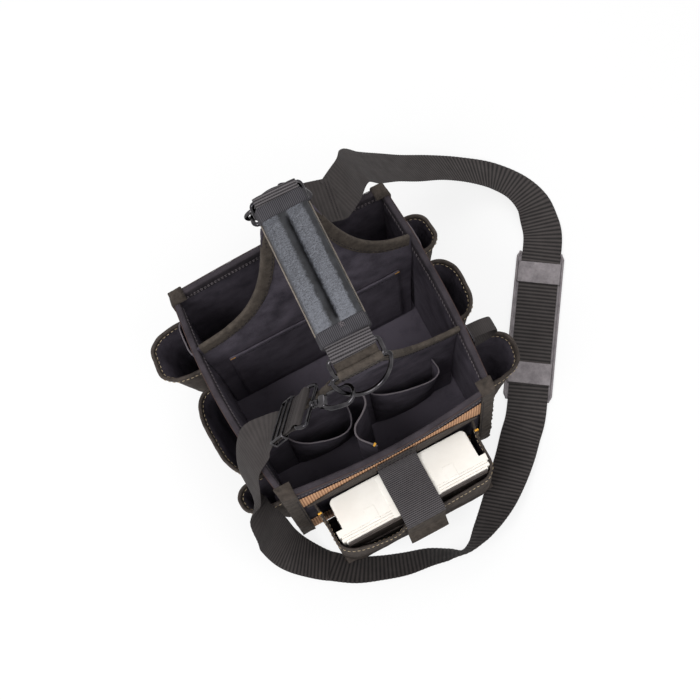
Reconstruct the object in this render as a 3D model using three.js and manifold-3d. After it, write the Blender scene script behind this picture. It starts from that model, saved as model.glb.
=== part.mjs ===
// Open top tool carrier: a stiffened fabric box with two arched dividers that hold a padded
// handle, outside pockets all round, a lift out parts tray and a shoulder strap on snap hooks.
// Millimetres, +Z up, +Y to the back, +X to the right, origin at the middle of the base.
import * as THREE from 'three';
import { mergeVertices } from 'three/addons/utils/BufferGeometryUtils.js';
import Module from 'manifold-3d';

const wasm = await Module();
wasm.setup();

// Body of the carrier
const bodyWidth = 268;
const bodyTaper = 7;
const bodyDepth = 272;
const bodyHeight = 240;
const wallThickness = 4;
const baseThickness = 6;
const frontBelly = 10;
const rearBelly = 4;
const sideBelly = 4;
const bellyPower = 2.5;
const gap = 0.3;

// Rim binding and corner trims
const bindingThickness = 1.5;
const bindingDrop = 20;
const trimThickness = 1.6;
const trimLeg = 14;
const frontTipHeight = 4;
const rearTipHeight = 13;

// Webbing bands on the front wall
const bandThickness = 1.2;
const bandHalfLength = 122;
const upperBandBottom = 150;
const lowerBandBottom = 5;
const webbingWidth = 50.8;

// Arched dividers that carry the handle
const dividerSpacing = 110;
const dividerThickness = 3;
const swoopTop = bodyHeight + 145;
const swoopSpread = 32;
const tabHalfWidth = 27;
const sheetTop = bodyHeight + 132;
const leanStart = bodyHeight - 40;
const leanPower = 1.3;
const frontLean = -27;
const rearLean = 55;
const frontTabX = 4;
const rearTabX = 12;
const archTrimWidth = 14;
const archTrimThickness = 1.2;
const archTrimTop = bodyHeight + 100;
const archTrimSlack = 0.5;
const archTrimStep = 5;

// Tabs, rectangular rings and D rings
const tabThickness = 1.5;
const tabSkirt = 29;
const tabLoopWidth = 50;
const ringWireRadius = 2.5;
const dBarRise = 9;
const ringBarRise = 15;
const ringHalfWidth = 29;
const ringCorner = 3.5;
const dHalfWidth = 34;
const dDepth = 38;
const frontDTilt = 58;
const rearDTilt = 25;

// Handle
const handleFrontY = -67;
const handleRearY = 124;
const handleZ = bodyHeight + 158;
const handleWebThickness = 2.5;
const handleFoldBack = 42;
const padFrontY = -53;
const padRearY = 111;
const padHalfWidth = 28.5;
const padWall = 1.3;
const padLobe = 8.5;
const padUnderside = 4;

// Snap hooks
const hookWireRadius = 2.3;
const hookBendRadius = 10.3;
const hookSeat = 3;
const hookNeck = 28;
const hookBlock = 9;
const hookBarrel = 7;
const hookBarrelRadius = 4.5;
const hookBlockHalfWidth = 7;
const hookBlockHalfHeight = 3.6;
const eyeBossRadius = 5;
const gateRadius = 1.5;
const eyeBarFromWire = 48.5;
const eyeDepth = 14;
const eyeHalfWidth = 28.2;
const frontHookAngle = 134;
const rearHookAngle = 150;

// Shoulder strap, pad and adjuster
const strapThickness = 1.6;
const floorClearance = 1.3;
const strapRise = bodyHeight / 240;
const strapFold = 52;
const adjusterFrom = 22;
const adjusterLength = 24;
const adjusterSide = 2.4;
const shoulderPadWidth = 62;
const shoulderPadLength = 200;
const shoulderPadBase = 3;
const shoulderPadRail = 3;
const shoulderPadRailHeight = 6;
const shoulderBandLength = 28;
const shoulderBandInset = 24;
const shoulderBandWall = 2;

// Pockets on the side walls
const pocketThickness = 2;
const pocketSquareness = 0.62;
const pocketBottom = 16;
const pocketHeel = 14;
const sleeve = { half: 22, bottom: 110, mouth: 212, heel: 4, depth: 9, squareness: 0.5, thickness: 1.5 };

// Webbing loop and ring on the right wall, as distance from the wall and height
const toolLoopY = -58;
const toolLoopWidth = 18;
const toolLoopTop = 216;
const toolLoopProfile = [
  [0, 214],
  [0, 206],
  [6, 203],
  [24, 199],
  [37, 191],
  [40, 180],
  [34, 168],
  [18, 163],
  [3, 160],
  [0, 156],
  [0, 152],
];
const toolRingOut = 9;
const toolRingZ = 190.15;
const toolRingHalfWidth = 11.5;
const toolRingHalfHeight = 15;
const toolRingCorner = 4;
const toolRingWire = 1.5;

// Pockets and partition inside the body
const innerPocketBottom = 20;
const innerPocketMouth = 168;
const flatPocketHalfWidth = 112;
const flatPocketTop = 190;
const liningThickness = 1.6;
const partitionTop = 205;
const partitionFromDivider = 7;
const partitionFromWall = 10;
const partitionPlan = [[4, 0], [1, 0.234], [-22, 0.531], [-24, 0.719], [-10, 1]];

// Parts tray in its front pocket
const trayWidth = 180;
const trayBodyDepth = 37.5;
const trayLidWidth = 197;
const trayLidDepth = 20;
const trayBottom = 27;
const trayTop = 140;
const trayRear = bodyDepth / 2 + 6.2;
const trayMiddle = 2;
const trayWall = 2.2;
const latchSpread = 52;
const latchHalfWidth = 7;
const latchThickness = 2;
const trayClearance = 2.5;
const trayPocketSlack = 9;
const trayPocketMouth = 138;
const trayFloorThickness = 2.5;
const trayPocketSquareness = 0.1;
const trayStrapX = 4;
const patchHalfWidth = 22;
const patchThickness = 1;
const patchHeights = [95, 128];
const trayStrapEnd = 52;
const trayStrapFlare = 14;

// Finish of each material, as colour, roughness and metalness
const finishes = {
  fabric: [0x232126, 0.9, 0],
  binding: [0x413c41, 0.85, 0],
  suede: [0x504b44, 0.95, 0],
  tanWebbing: [0xbe9169, 0.85, 0],
  strapWebbing: [0x3c3432, 0.85, 0],
  vinyl: [0x2d2e33, 0.45, 0],
  nickel: [0x55565c, 0.25, 1],
  trayPlastic: [0xf4f0e6, 0.4, 0],
  padRubber: [0x4a4848, 0.7, 0],
};

const carrier = new THREE.Group();

function vector(x, y, z) {
  return new THREE.Vector3(x, y, z);
}

function mix(from, to, share) {
  return from + (to - from) * share;
}

// Values from one end to the other in equal steps
function steps(from, to, count) {
  return Array.from({ length: count + 1 }, (_, index) => mix(from, to, index / count));
}

function addPart(name, geometry, finish) {
  const [color, roughness, metalness] = finishes[finish];
  const material = new THREE.MeshStandardMaterial({ color, roughness, metalness });
  const mesh = new THREE.Mesh(geometry, material);
  mesh.name = name;
  carrier.add(mesh);
}

// A closed geometry whose faces are turned outwards if its volume comes out negative
function closedGeometry(points, faces) {
  let volume = 0;
  for (const [a, b, c] of faces) {
    volume += points[a].dot(points[b].clone().cross(points[c]));
  }
  const turned = volume < 0 ? faces.map(([a, b, c]) => [a, c, b]) : faces;
  const geometry = new THREE.BufferGeometry();
  geometry.setFromPoints(points);
  geometry.setIndex(turned.flat());
  geometry.computeVertexNormals();
  return geometry;
}

// A thick sheet: place(column, row, face) gives a point of the inner face 0 or the outer face 1
function sheetGeometry(columns, rows, place) {
  const points = [];
  const index = (face, i, j) => (face * columns.length + i) * rows.length + j;
  for (const face of [0, 1]) {
    for (const column of columns) {
      for (const row of rows) {
        points.push(place(column, row, face));
      }
    }
  }
  const faces = [];
  const quad = (a, b, c, d) => faces.push([a, b, c], [a, c, d]);
  const lastColumn = columns.length - 1;
  const lastRow = rows.length - 1;
  for (let i = 0; i < lastColumn; i += 1) {
    for (let j = 0; j < lastRow; j += 1) {
      quad(index(1, i, j), index(1, i + 1, j), index(1, i + 1, j + 1), index(1, i, j + 1));
      quad(index(0, i, j), index(0, i, j + 1), index(0, i + 1, j + 1), index(0, i + 1, j));
    }
  }
  for (let i = 0; i < lastColumn; i += 1) {
    quad(index(1, i, 0), index(0, i, 0), index(0, i + 1, 0), index(1, i + 1, 0));
    quad(
      index(0, i, lastRow),
      index(1, i, lastRow),
      index(1, i + 1, lastRow),
      index(0, i + 1, lastRow),
    );
  }
  for (let j = 0; j < lastRow; j += 1) {
    quad(index(0, 0, j), index(1, 0, j), index(1, 0, j + 1), index(0, 0, j + 1));
    quad(
      index(1, lastColumn, j),
      index(0, lastColumn, j),
      index(0, lastColumn, j + 1),
      index(1, lastColumn, j + 1),
    );
  }
  return closedGeometry(points, faces);
}

// Triangles of a flat section, wound the same way as its outline
function sectionFaces(ring) {
  const first = ring[1].clone().sub(ring[0]).normalize();
  const normal = vector(0, 0, 0);
  ring.forEach((point, i) => {
    normal.add(point.clone().sub(ring[0]).cross(ring[(i + 1) % ring.length].clone().sub(ring[0])));
  });
  const second = normal.normalize().clone().cross(first);
  const outline = ring.map((point) => {
    const offset = point.clone().sub(ring[0]);
    return new THREE.Vector2(offset.dot(first), offset.dot(second));
  });
  return THREE.ShapeUtils.triangulateShape(outline, []).map(([a, b, c]) => {
    const turn = outline[b].clone().sub(outline[a]).cross(outline[c].clone().sub(outline[a]));
    return turn < 0 ? [a, c, b] : [a, b, c];
  });
}

// A solid through a row of sections with equal point counts, capped or joined end to end. The
// side called crossed takes the other diagonal, so that both faces of webbing twist alike.
function loftGeometry(rings, joined = false, crossed = -1) {
  const count = rings[0].length;
  const faces = [];
  const lastRing = joined ? rings.length : rings.length - 1;
  for (let k = 0; k < lastRing; k += 1) {
    const here = k * count;
    const next = ((k + 1) % rings.length) * count;
    for (let i = 0; i < count; i += 1) {
      const j = (i + 1) % count;
      const corner = i === crossed ? next + i : next + j;
      const start = i === crossed ? here + j : here + i;
      faces.push([here + i, here + j, corner], [start, next + j, next + i]);
    }
  }
  if (!joined) {
    const end = (rings.length - 1) * count;
    sectionFaces(rings[0]).forEach(([a, b, c]) => faces.push([a, c, b]));
    sectionFaces(rings[rings.length - 1]).forEach(([a, b, c]) => faces.push([end + a, end + b, end + c]));
  }
  return closedGeometry(rings.flat(), faces);
}

// Directions along a row of points, by the points before and after each
function tangents(points, joined = false) {
  const last = points.length - 1;
  return points.map((_, i) => {
    const before = joined ? points[(i + last) % points.length] : points[Math.max(0, i - 1)];
    const after = joined ? points[(i + 1) % points.length] : points[Math.min(last, i + 1)];
    return after.clone().sub(before).normalize();
  });
}

// A round wire along points that lie in the plane with the given normal
function wireGeometry(points, normal, radius, joined, sides = 8) {
  const along = tangents(points, joined);
  const rings = points.map((point, k) => {
    const across = along[k].clone().cross(normal).normalize();
    return Array.from({ length: sides }, (_, i) => {
      const angle = ((i + 0.5) / sides) * Math.PI * 2;
      const offset = across.clone().multiplyScalar(Math.cos(angle) * radius);
      return point.clone().add(offset).addScaledVector(normal, Math.sin(angle) * radius);
    });
  });
  return loftGeometry(rings, joined);
}

// Flat webbing along stations that give its middle, the direction across it and its width
function ribbonGeometry(stations, thickness) {
  const along = tangents(stations.map((station) => station.point));
  const rings = stations.map((station, k) => {
    const across = station.across.clone();
    across.addScaledVector(along[k], -across.dot(along[k])).normalize();
    const up = along[k].clone().cross(across).multiplyScalar(thickness / 2);
    across.multiplyScalar(station.width / 2);
    return [
      station.point.clone().add(across).add(up),
      station.point.clone().sub(across).add(up),
      station.point.clone().sub(across).sub(up),
      station.point.clone().add(across).sub(up),
    ];
  });
  return loftGeometry(rings, false, 2);
}

// Booleans on closed geometries
function toSolid(geometry) {
  const bare = geometry.clone();
  bare.deleteAttribute('normal');
  bare.deleteAttribute('uv');
  const merged = mergeVertices(bare, 1e-4);
  return new wasm.Manifold(new wasm.Mesh({
    numProp: 3,
    vertProperties: new Float32Array(merged.attributes.position.array),
    triVerts: new Uint32Array(merged.index.array),
  }));
}

function fromSolid(solid) {
  const mesh = solid.getMesh();
  const geometry = new THREE.BufferGeometry();
  geometry.setAttribute('position', new THREE.BufferAttribute(mesh.vertProperties, 3));
  geometry.setIndex(new THREE.BufferAttribute(mesh.triVerts, 1));
  geometry.computeVertexNormals();
  return geometry;
}

function joinGeometries(geometries) {
  return fromSolid(geometries.map(toSolid).reduce((whole, piece) => whole.add(piece)));
}

// A box between two corners, in a frame given by an origin and three axes
function boxIn(frame, low, high) {
  const box = new THREE.BoxGeometry(high[0] - low[0], high[1] - low[1], high[2] - low[2]);
  box.translate((low[0] + high[0]) / 2, (low[1] + high[1]) / 2, (low[2] + high[2]) / 2);
  const turn = new THREE.Matrix4().makeBasis(frame.x, frame.y, frame.z).setPosition(frame.origin);
  return box.applyMatrix4(turn);
}

function inFrame(frame, x, y, z = 0) {
  const point = frame.origin.clone().addScaledVector(frame.x, x);
  return point.addScaledVector(frame.y, y).addScaledVector(frame.z, z);
}

// Half the outer width of the body at a distance from its middle
function halfWidthAt(y) {
  return bodyWidth / 2 + (bodyTaper / 2) * (y / (bodyDepth / 2));
}

function bellyAt(belly, share, z) {
  return belly * Math.cos((Math.PI / 2) * share) * Math.max(z / bodyHeight, 0) ** bellyPower;
}

// A point at a place along a wall and a height, so far out from its outer face
function wallPoint(side, along, z, out) {
  if (side === 'front' || side === 'rear') {
    const sign = side === 'front' ? -1 : 1;
    const share = along / halfWidthAt((sign * bodyDepth) / 2);
    const belly = bellyAt(side === 'front' ? frontBelly : rearBelly, share, z);
    return vector(along, sign * (bodyDepth / 2 + out + belly), z);
  }
  const sign = side === 'left' ? -1 : 1;
  const belly = bellyAt(sideBelly, along / (bodyDepth / 2), z);
  return vector(sign * (halfWidthAt(along) + out + belly), along, z);
}

// A panel that follows a wall between two places, through a row of heights
function wallPanel(side, span, heights, seat, thickness) {
  return sheetGeometry(
    steps(span[0], span[1], 10),
    heights,
    (along, z, face) => wallPoint(side, along, z, seat + face * thickness),
  );
}

const sheetReach = bodyDepth / 2 - wallThickness - bindingThickness - 2 * gap;
const wallTop = bodyHeight - bindingThickness - gap;
const bindingFace = bindingThickness + gap;

function endReach(side) {
  const half = halfWidthAt((side === 'front' ? -1 : 1) * (bodyDepth / 2));
  return side === 'left' || side === 'right' ? sheetReach : half;
}

// Stiffened fabric walls round a stiff base
function addBox() {
  const inset = wallThickness + gap;
  const outline = new THREE.Shape([-1, 1].flatMap((back) => {
    const y = back * (bodyDepth / 2 - inset);
    const x = halfWidthAt(y) - inset;
    return [new THREE.Vector2(back * x, y), new THREE.Vector2(-back * x, y)];
  }));
  const base = new THREE.ExtrudeGeometry(outline, { depth: baseThickness, bevelEnabled: false });
  addPart('base_board', base, 'fabric');
  for (const side of ['front', 'rear', 'left', 'right']) {
    const reach = endReach(side);
    const heights = [...steps(0, bodyHeight - bindingDrop, 5), wallTop];
    const panel = wallPanel(side, [-reach, reach], heights, -wallThickness, wallThickness);
    addPart(`${side}_wall`, panel, 'fabric');
  }
}

// Folded binding that straddles the top edge of each wall
function addRimBindings() {
  const inner = -wallThickness - gap;
  const low = bodyHeight - bindingDrop;
  const under = bodyHeight - bindingThickness;
  const section = [
    [inner - bindingThickness, low],
    [inner - bindingThickness, bodyHeight],
    [bindingFace, bodyHeight],
    [bindingFace, low],
    [gap, low],
    [gap, under],
    [inner, under],
    [inner, low],
  ];
  for (const side of ['front', 'rear', 'left', 'right']) {
    const reach = endReach(side);
    const rings = steps(-reach, reach, 10).map((along) => (
      section.map(([out, z]) => wallPoint(side, along, z, out))
    ));
    addPart(`rim_binding_${side}`, loftGeometry(rings), 'binding');
  }
}

// Suede trim folded round each upright corner, closed over the rim by a short tip
function addCornerTrims() {
  const seat = bindingFace + gap;
  for (const side of ['left', 'right']) {
    for (const end of ['front', 'rear']) {
      const yEnd = (end === 'front' ? -1 : 1) * (bodyDepth / 2);
      const xEnd = (side === 'left' ? -1 : 1) * halfWidthAt(yEnd);
      const outer = seat + trimThickness;
      const ring = (z, tip) => {
        const corner = (out) => vector(xEnd + Math.sign(xEnd) * out, yEnd + Math.sign(yEnd) * out, z);
        const onEnd = (out) => wallPoint(end, xEnd - Math.sign(xEnd) * trimLeg, z, out);
        const onSide = (out) => wallPoint(side, yEnd - Math.sign(yEnd) * trimLeg, z, out);
        return [onEnd(outer), corner(outer), onSide(outer), onSide(seat), corner(tip), onEnd(seat)];
      };
      const rimTop = bodyHeight + gap;
      const height = end === 'front' ? frontTipHeight : rearTipHeight;
      const rings = steps(1, rimTop, 4).map((z) => ring(z, seat));
      rings.push(ring(rimTop + 0.2, -trimLeg), ring(bodyHeight + height, -trimLeg));
      addPart(`corner_trim_${end}_${side}`, loftGeometry(rings), 'suede');
    }
  }
}

function addFrontBands() {
  const bands = [['tan_band_upper', upperBandBottom], ['tan_band_lower', lowerBandBottom]];
  for (const [name, bottom] of bands) {
    const heights = steps(bottom, bottom + webbingWidth, 3);
    const band = wallPanel('front', [-bandHalfLength, bandHalfLength], heights, gap, bandThickness);
    addPart(name, band, 'tanWebbing');
  }
}

const dividers = {
  front: { sign: -1, y: -dividerSpacing / 2, lean: frontLean, tabX: frontTabX, tilt: frontDTilt },
  rear: { sign: 1, y: dividerSpacing / 2, lean: rearLean, tabX: rearTabX, tilt: rearDTilt },
};

function dividerPoint(divider, x, z, out) {
  const share = Math.max(z - leanStart, 0) / (swoopTop - leanStart);
  return vector(x, divider.y + divider.lean * share ** leanPower + divider.sign * out, z);
}

// Half width of the arch at a height above the rim
function archHalfWidth(z) {
  return tabHalfWidth + swoopSpread * Math.log((swoopTop - bodyHeight) / (z - bodyHeight));
}

// Where a divider ends at a side wall, clear of the rim binding
function sideLimit(divider, side) {
  const out = -wallThickness - bindingFace - gap;
  return wallPoint(side, divider.y, bodyHeight, out).x;
}

function sheetEdge(divider, side, z) {
  const sign = side === 'left' ? -1 : 1;
  const limit = sideLimit(divider, side);
  if (z <= bodyHeight) {
    const belly = bellyAt(sideBelly, divider.y / (bodyDepth / 2), bodyHeight);
    return limit - sign * (belly - bellyAt(sideBelly, divider.y / (bodyDepth / 2), z));
  }
  const arch = divider.tabX + sign * archHalfWidth(z);
  return sign < 0 ? Math.max(limit, arch) : Math.min(limit, arch);
}

// Heights of the rows that the arch of a divider and its trims share
const archRows = steps(0, 1, 10).slice(1).map((share) => mix(bodyHeight, archTrimTop, share ** 2));

// Arched divider sheet, with the binding that follows each side of its arch
function addDivider(name, divider) {
  const low = [...steps(baseThickness + gap, leanStart, 2), ...steps(leanStart, bodyHeight, 3).slice(1)];
  const high = steps(archTrimTop, sheetTop, 2).slice(1);
  const sheet = sheetGeometry(steps(0, 1, 8), [...low, ...archRows, ...high], (share, z, face) => {
    const x = mix(sheetEdge(divider, 'left', z), sheetEdge(divider, 'right', z), share);
    return dividerPoint(divider, x, z, (face - 0.5) * dividerThickness);
  });
  addPart(`${name}_divider`, sheet, 'fabric');
  for (const side of ['left', 'right']) {
    addPart(`${name}_arch_trim_${side}`, archTrim(divider, side), 'suede');
  }
}

function archTrim(divider, side) {
  const sign = side === 'left' ? -1 : 1;
  const limit = sideLimit(divider, side);
  const edge = archRows.map((z) => dividerPoint(divider, sheetEdge(divider, side, z), z, 0));
  const path = edge.filter((point, k) => {
    const next = edge[k + 1];
    return !next || (next.x !== limit && point.distanceTo(next) > archTrimStep);
  });
  const along = tangents(path);
  const face = dividerThickness / 2 + gap;
  const skin = face + archTrimThickness;
  const cap = archTrimSlack + archTrimThickness;
  const section = [
    [-skin, archTrimWidth],
    [-skin, -cap],
    [skin, -cap],
    [skin, archTrimWidth],
    [face, archTrimWidth],
    [face, -archTrimSlack],
    [-face, -archTrimSlack],
    [-face, archTrimWidth],
  ];
  const rings = path.map((point, k) => {
    const normal = sheetNormal(divider, point.z);
    const inward = along[k].clone().cross(normal).multiplyScalar(sign).normalize();
    return section.map(([out, into]) => (
      point.clone().addScaledVector(normal, out).addScaledVector(inward, into)
    ));
  });
  return loftGeometry(rings);
}

// Direction square to a divider sheet at a height, midway between the rows about it
function sheetNormal(divider, z) {
  const low = dividerPoint(divider, 0, z - 1, 0);
  const high = dividerPoint(divider, 0, z + 1, 0);
  return high.sub(low).cross(vector(1, 0, 0)).normalize();
}

// The frame at the top of a divider: x across, y up along the sheet, z away from the middle
function tabFrame(divider) {
  const origin = dividerPoint(divider, divider.tabX, sheetTop, 0);
  const up = origin.clone().sub(dividerPoint(divider, divider.tabX, sheetTop - 10, 0)).normalize();
  const out = vector(1, 0, 0).cross(up).multiplyScalar(-divider.sign);
  return { origin, x: vector(1, 0, 0), y: up, z: out };
}

// Suede tab folded over the bars of the two rings
function addTab(name, divider) {
  const frame = tabFrame(divider);
  const onSheet = dividerThickness / 2 + gap + tabThickness / 2;
  const onBar = ringWireRadius + gap + tabThickness / 2;
  const side = (sign) => [
    { out: sign * onSheet, up: -tabSkirt, width: 2 * archHalfWidth(archTrimTop + 4) },
    { out: sign * onSheet, up: -0.6 * tabSkirt, width: 2 * archHalfWidth(archTrimTop + 15) },
    { out: sign * onSheet, up: 0, width: tabLoopWidth + 6 },
    { out: sign * onBar, up: 4, width: tabLoopWidth },
    { out: sign * onBar, up: 11, width: tabLoopWidth },
  ];
  const over = steps(0, Math.PI, 8).map((angle) => ({
    out: Math.cos(angle) * onBar,
    up: ringBarRise + Math.sin(angle) * onBar,
    width: tabLoopWidth,
  }));
  const stations = [...side(1), ...over, ...side(-1).reverse()].map(({ out, up, width }) => ({
    point: inFrame(frame, 0, up, out),
    across: frame.x,
    width,
  }));
  addPart(`${name}_ring_tab`, ribbonGeometry(stations, tabThickness), 'suede');
}

// Points of a rounded rectangle in a frame, from its centre
function roundedRectangle(frame, halfX, halfY, radius) {
  const corners = [[1, 1], [-1, 1], [-1, -1], [1, -1]];
  return corners.flatMap(([sx, sy], quarter) => steps(0, Math.PI / 2, 3).map((turn) => {
    const angle = (quarter * Math.PI) / 2 + turn;
    const x = sx * (halfX - radius) + Math.cos(angle) * radius;
    const y = sy * (halfY - radius) + Math.sin(angle) * radius;
    return inFrame(frame, x, y);
  }));
}

function handleEnd(divider) {
  return vector(divider.tabX, divider.sign < 0 ? handleFrontY : handleRearY, handleZ);
}

function addRectangularRing(name, divider) {
  const tab = tabFrame(divider);
  const low = inFrame(tab, 0, ringBarRise);
  const high = handleEnd(divider);
  const rise = high.clone().sub(low);
  const frame = {
    origin: low.clone().add(high).multiplyScalar(0.5),
    x: tab.x,
    y: rise.clone().normalize(),
    z: tab.x.clone().cross(rise).normalize(),
  };
  const path = roundedRectangle(frame, ringHalfWidth, rise.length() / 2, ringCorner);
  addPart(`${name}_rect_ring`, wireGeometry(path, frame.z, ringWireRadius, true), 'nickel');
}

// The frame of a D ring: x along its bar, y towards its round end
function dFrame(divider) {
  const tilt = THREE.MathUtils.degToRad(divider.tilt);
  const origin = inFrame(tabFrame(divider), 0, dBarRise);
  const y = vector(0, divider.sign * Math.cos(tilt), -Math.sin(tilt));
  return { origin, x: vector(1, 0, 0), y, z: vector(1, 0, 0).cross(y) };
}

function dPoint(divider, angle) {
  return inFrame(dFrame(divider), dHalfWidth * Math.cos(angle), dDepth * Math.sin(angle));
}

function addDRing(name, divider) {
  const frame = dFrame(divider);
  const arc = steps(0.1, Math.PI - 0.1, 18).map((angle) => dPoint(divider, angle));
  const bar = steps(-(dHalfWidth - 3), dHalfWidth - 3, 4).map((x) => inFrame(frame, x, 0));
  addPart(`${name}_d_ring`, wireGeometry([...arc, ...bar], frame.z, ringWireRadius, true), 'nickel');
}

// Handle webbing: one strip that turns round both rings and folds back under itself
function addHandle() {
  const layer = ringWireRadius + gap + handleWebThickness / 2;
  const front = handleEnd(dividers.front);
  const rear = handleEnd(dividers.rear);
  const along = rear.clone().sub(front).normalize();
  const up = vector(0, 0, 1);
  const place = (end, forward, rise) => (
    end.clone().addScaledVector(along, forward).addScaledVector(up, rise)
  );
  const turn = (end, direction) => steps(-Math.PI / 2, Math.PI / 2, 8).map((angle) => (
    place(end, -direction * Math.cos(angle) * layer, direction * Math.sin(angle) * layer)
  ));
  const points = [
    place(front, handleFoldBack, -layer),
    place(front, handleFoldBack / 2, -layer),
    ...turn(front, 1),
    place(front, handleFoldBack, layer),
    place(front, handleRearY - handleFrontY - handleFoldBack, layer),
    ...turn(rear, -1),
    place(rear, -handleFoldBack / 2, -layer),
    place(rear, -handleFoldBack, -layer),
  ];
  const stations = points.map((point) => ({ point, across: vector(1, 0, 0), width: webbingWidth }));
  addPart('handle_webbing', ribbonGeometry(stations, handleWebThickness), 'strapWebbing');
  addHandlePad(layer + handleWebThickness / 2 + gap);
}

// Padded grip: a sleeve with two rounded lobes on top and a seam groove between them
function addHandlePad(boreHalfHeight) {
  const boreHalfWidth = webbingWidth / 2 + gap;
  const topXs = [-1, -0.93, -0.75, -0.5, -0.25, -0.08, 0, 0.08, 0.25, 0.5, 0.75, 0.93, 1];
  const underXs = [0.93, 0.5, 0, -0.5, -0.93];
  const lobe = (share) => Math.sqrt(Math.max(0, 1 - (Math.abs(share) * 2 - 1) ** 2));
  const section = (swell, sag) => [
    ...topXs.map((share) => {
      const edge = Math.abs(share) === 1;
      const top = boreHalfHeight + padWall + padLobe * swell * lobe(share);
      return { x: padHalfWidth * share, z: edge ? 0 : top, edge };
    }),
    ...underXs.map((share) => {
      const drop = padUnderside * sag * Math.sqrt(1 - share * share);
      return { x: padHalfWidth * share, z: -boreHalfHeight - padWall - drop, edge: false };
    }),
  ];
  const frontEnd = [[0, 0.55, 0.55], [3, 0.85, 0.85], [9, 1, 1], [80, 1, 1]];
  const rearEnd = [[-24, 1, 1], [-12, 1, 0], [-3, 0.85, 0], [0, 0.55, 0]];
  const places = [[padFrontY, frontEnd], [padRearY, rearEnd]].flatMap(([end, stations]) => (
    stations.map(([offset, swell, sag]) => ({ y: end + offset, swell, sag }))
  ));
  const ring = ({ y, swell, sag }, bore) => section(swell, sag).map(({ x, z, edge }) => {
    const share = (y - handleFrontY) / (handleRearY - handleFrontY);
    const middle = mix(frontTabX, rearTabX, share);
    if (!bore) {
      return vector(middle + x, y, handleZ + z);
    }
    const boreX = THREE.MathUtils.clamp(x, -boreHalfWidth, boreHalfWidth);
    return vector(middle + boreX, y, handleZ + (edge ? 0 : Math.sign(z) * boreHalfHeight));
  });
  const outer = places.map((place) => ring(place, false));
  const bore = places.map((place) => ring(place, true)).reverse();
  addPart('handle_pad', loftGeometry([...outer, ...bore], true), 'vinyl');
}

// Snap hooks: each frame has its origin on the D ring's wire, x towards the strap
const hooks = {
  front: {
    divider: dividers.front,
    angle: frontHookAngle,
    axis: [-0.76, 0.3, -0.54],
    across: [-0.5, -0.74, 0.45],
  },
  rear: {
    divider: dividers.rear,
    angle: rearHookAngle,
    axis: [0.75, 0, -0.66],
    across: [0, 0.95, 0.3],
  },
};

function hookFrame(hook) {
  const radians = THREE.MathUtils.degToRad(hook.angle);
  const origin = dPoint(hook.divider, radians);
  const x = vector(...hook.axis).normalize();
  const wire = dPoint(hook.divider, radians + 0.01).sub(origin).normalize();
  const z = wire.addScaledVector(x, -wire.dot(x)).normalize();
  if (z.z < 0) {
    z.negate();
  }
  return { origin, x, y: z.clone().cross(x), z };
}

// Frame of the strap loop: origin at the far bar of the eye, y across the webbing
function eyeFrame(hook) {
  const frame = hookFrame(hook);
  const across = vector(...hook.across);
  across.addScaledVector(frame.x, -across.dot(frame.x)).normalize();
  const origin = inFrame(frame, eyeBarFromWire + eyeDepth, 0);
  return { origin, x: frame.x, y: across, z: frame.x.clone().cross(across) };
}

function addHook(name, hook) {
  const frame = hookFrame(hook);
  const bend = steps(-Math.PI / 2, Math.PI / 2, 10).map((angle) => inFrame(
    frame,
    hookSeat - Math.cos(angle) * hookBendRadius,
    Math.sin(angle) * hookBendRadius,
  ));
  const spine = [
    inFrame(frame, hookNeck - 6, hookBendRadius),
    inFrame(frame, hookNeck + 1, hookBendRadius * 0.75),
    inFrame(frame, hookNeck + hookBlock / 2, hookBendRadius * 0.4),
  ];
  const wire = wireGeometry([...bend, ...spine], frame.z, hookWireRadius, false);
  const blockLow = [hookNeck + 1, -hookBlockHalfWidth, -hookBlockHalfHeight];
  const blockHigh = [hookNeck + 1 + hookBlock, hookBlockHalfWidth, hookBlockHalfHeight];
  const block = boxIn(frame, blockLow, blockHigh);
  const barrel = rodIn(frame, hookBarrelRadius, hookNeck + hookBlock, hookBarrel);
  addPart(`${name}_snap_hook`, joinGeometries([wire, block, barrel]), 'nickel');
  const gate = gatePath.map(([x, y]) => inFrame(frame, x, y));
  addPart(`${name}_hook_gate`, wireGeometry(gate, frame.z, gateRadius, false), 'nickel');
  addEye(name, hook, frame);
}

// Spring gate from the block to the nose of the hook
const gatePath = [
  [hookNeck - 1, -hookBendRadius + 3.5],
  [hookSeat + 8.3, -hookBendRadius + 0.8],
  [hookSeat + 0.6, -hookBendRadius],
];

// A round rod along the x axis of a frame
function rodIn(frame, radius, from, length) {
  const rod = new THREE.CylinderGeometry(radius, radius, length, 12);
  rod.rotateZ(Math.PI / 2);
  rod.translate(from + length / 2, 0, 0);
  const turn = new THREE.Matrix4().makeBasis(frame.x, frame.y, frame.z);
  return rod.applyMatrix4(turn.setPosition(frame.origin));
}

// Swivel eye: a boss that the hook turns on, and a wire frame for the webbing
function addEye(name, hook, frame) {
  const eye = eyeFrame(hook);
  const middle = { ...eye, origin: inFrame(eye, -eyeDepth / 2, 0) };
  const path = roundedRectangle(middle, eyeDepth / 2, eyeHalfWidth, 4);
  const loop = wireGeometry(path, eye.z, hookWireRadius, true);
  const bossStart = hookNeck + hookBlock + hookBarrel + gap;
  const bossLength = eyeBarFromWire - bossStart + 1;
  const boss = rodIn(frame, eyeBossRadius, bossStart, bossLength);
  addPart(`${name}_swivel_eye`, joinGeometries([loop, boss]), 'nickel');
}

// Direction in which the webbing leaves an eye
const strapLeaves = { front: [-0.68, 0.02, -0.73], rear: [0.9, 0.05, -0.45] };

function strapLoopFrame(name) {
  const eye = eyeFrame(hooks[name]);
  const x = vector(...strapLeaves[name]);
  x.addScaledVector(eye.y, -x.dot(eye.y)).normalize();
  return { origin: eye.origin, x, y: eye.y, z: x.clone().cross(eye.y) };
}

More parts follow.
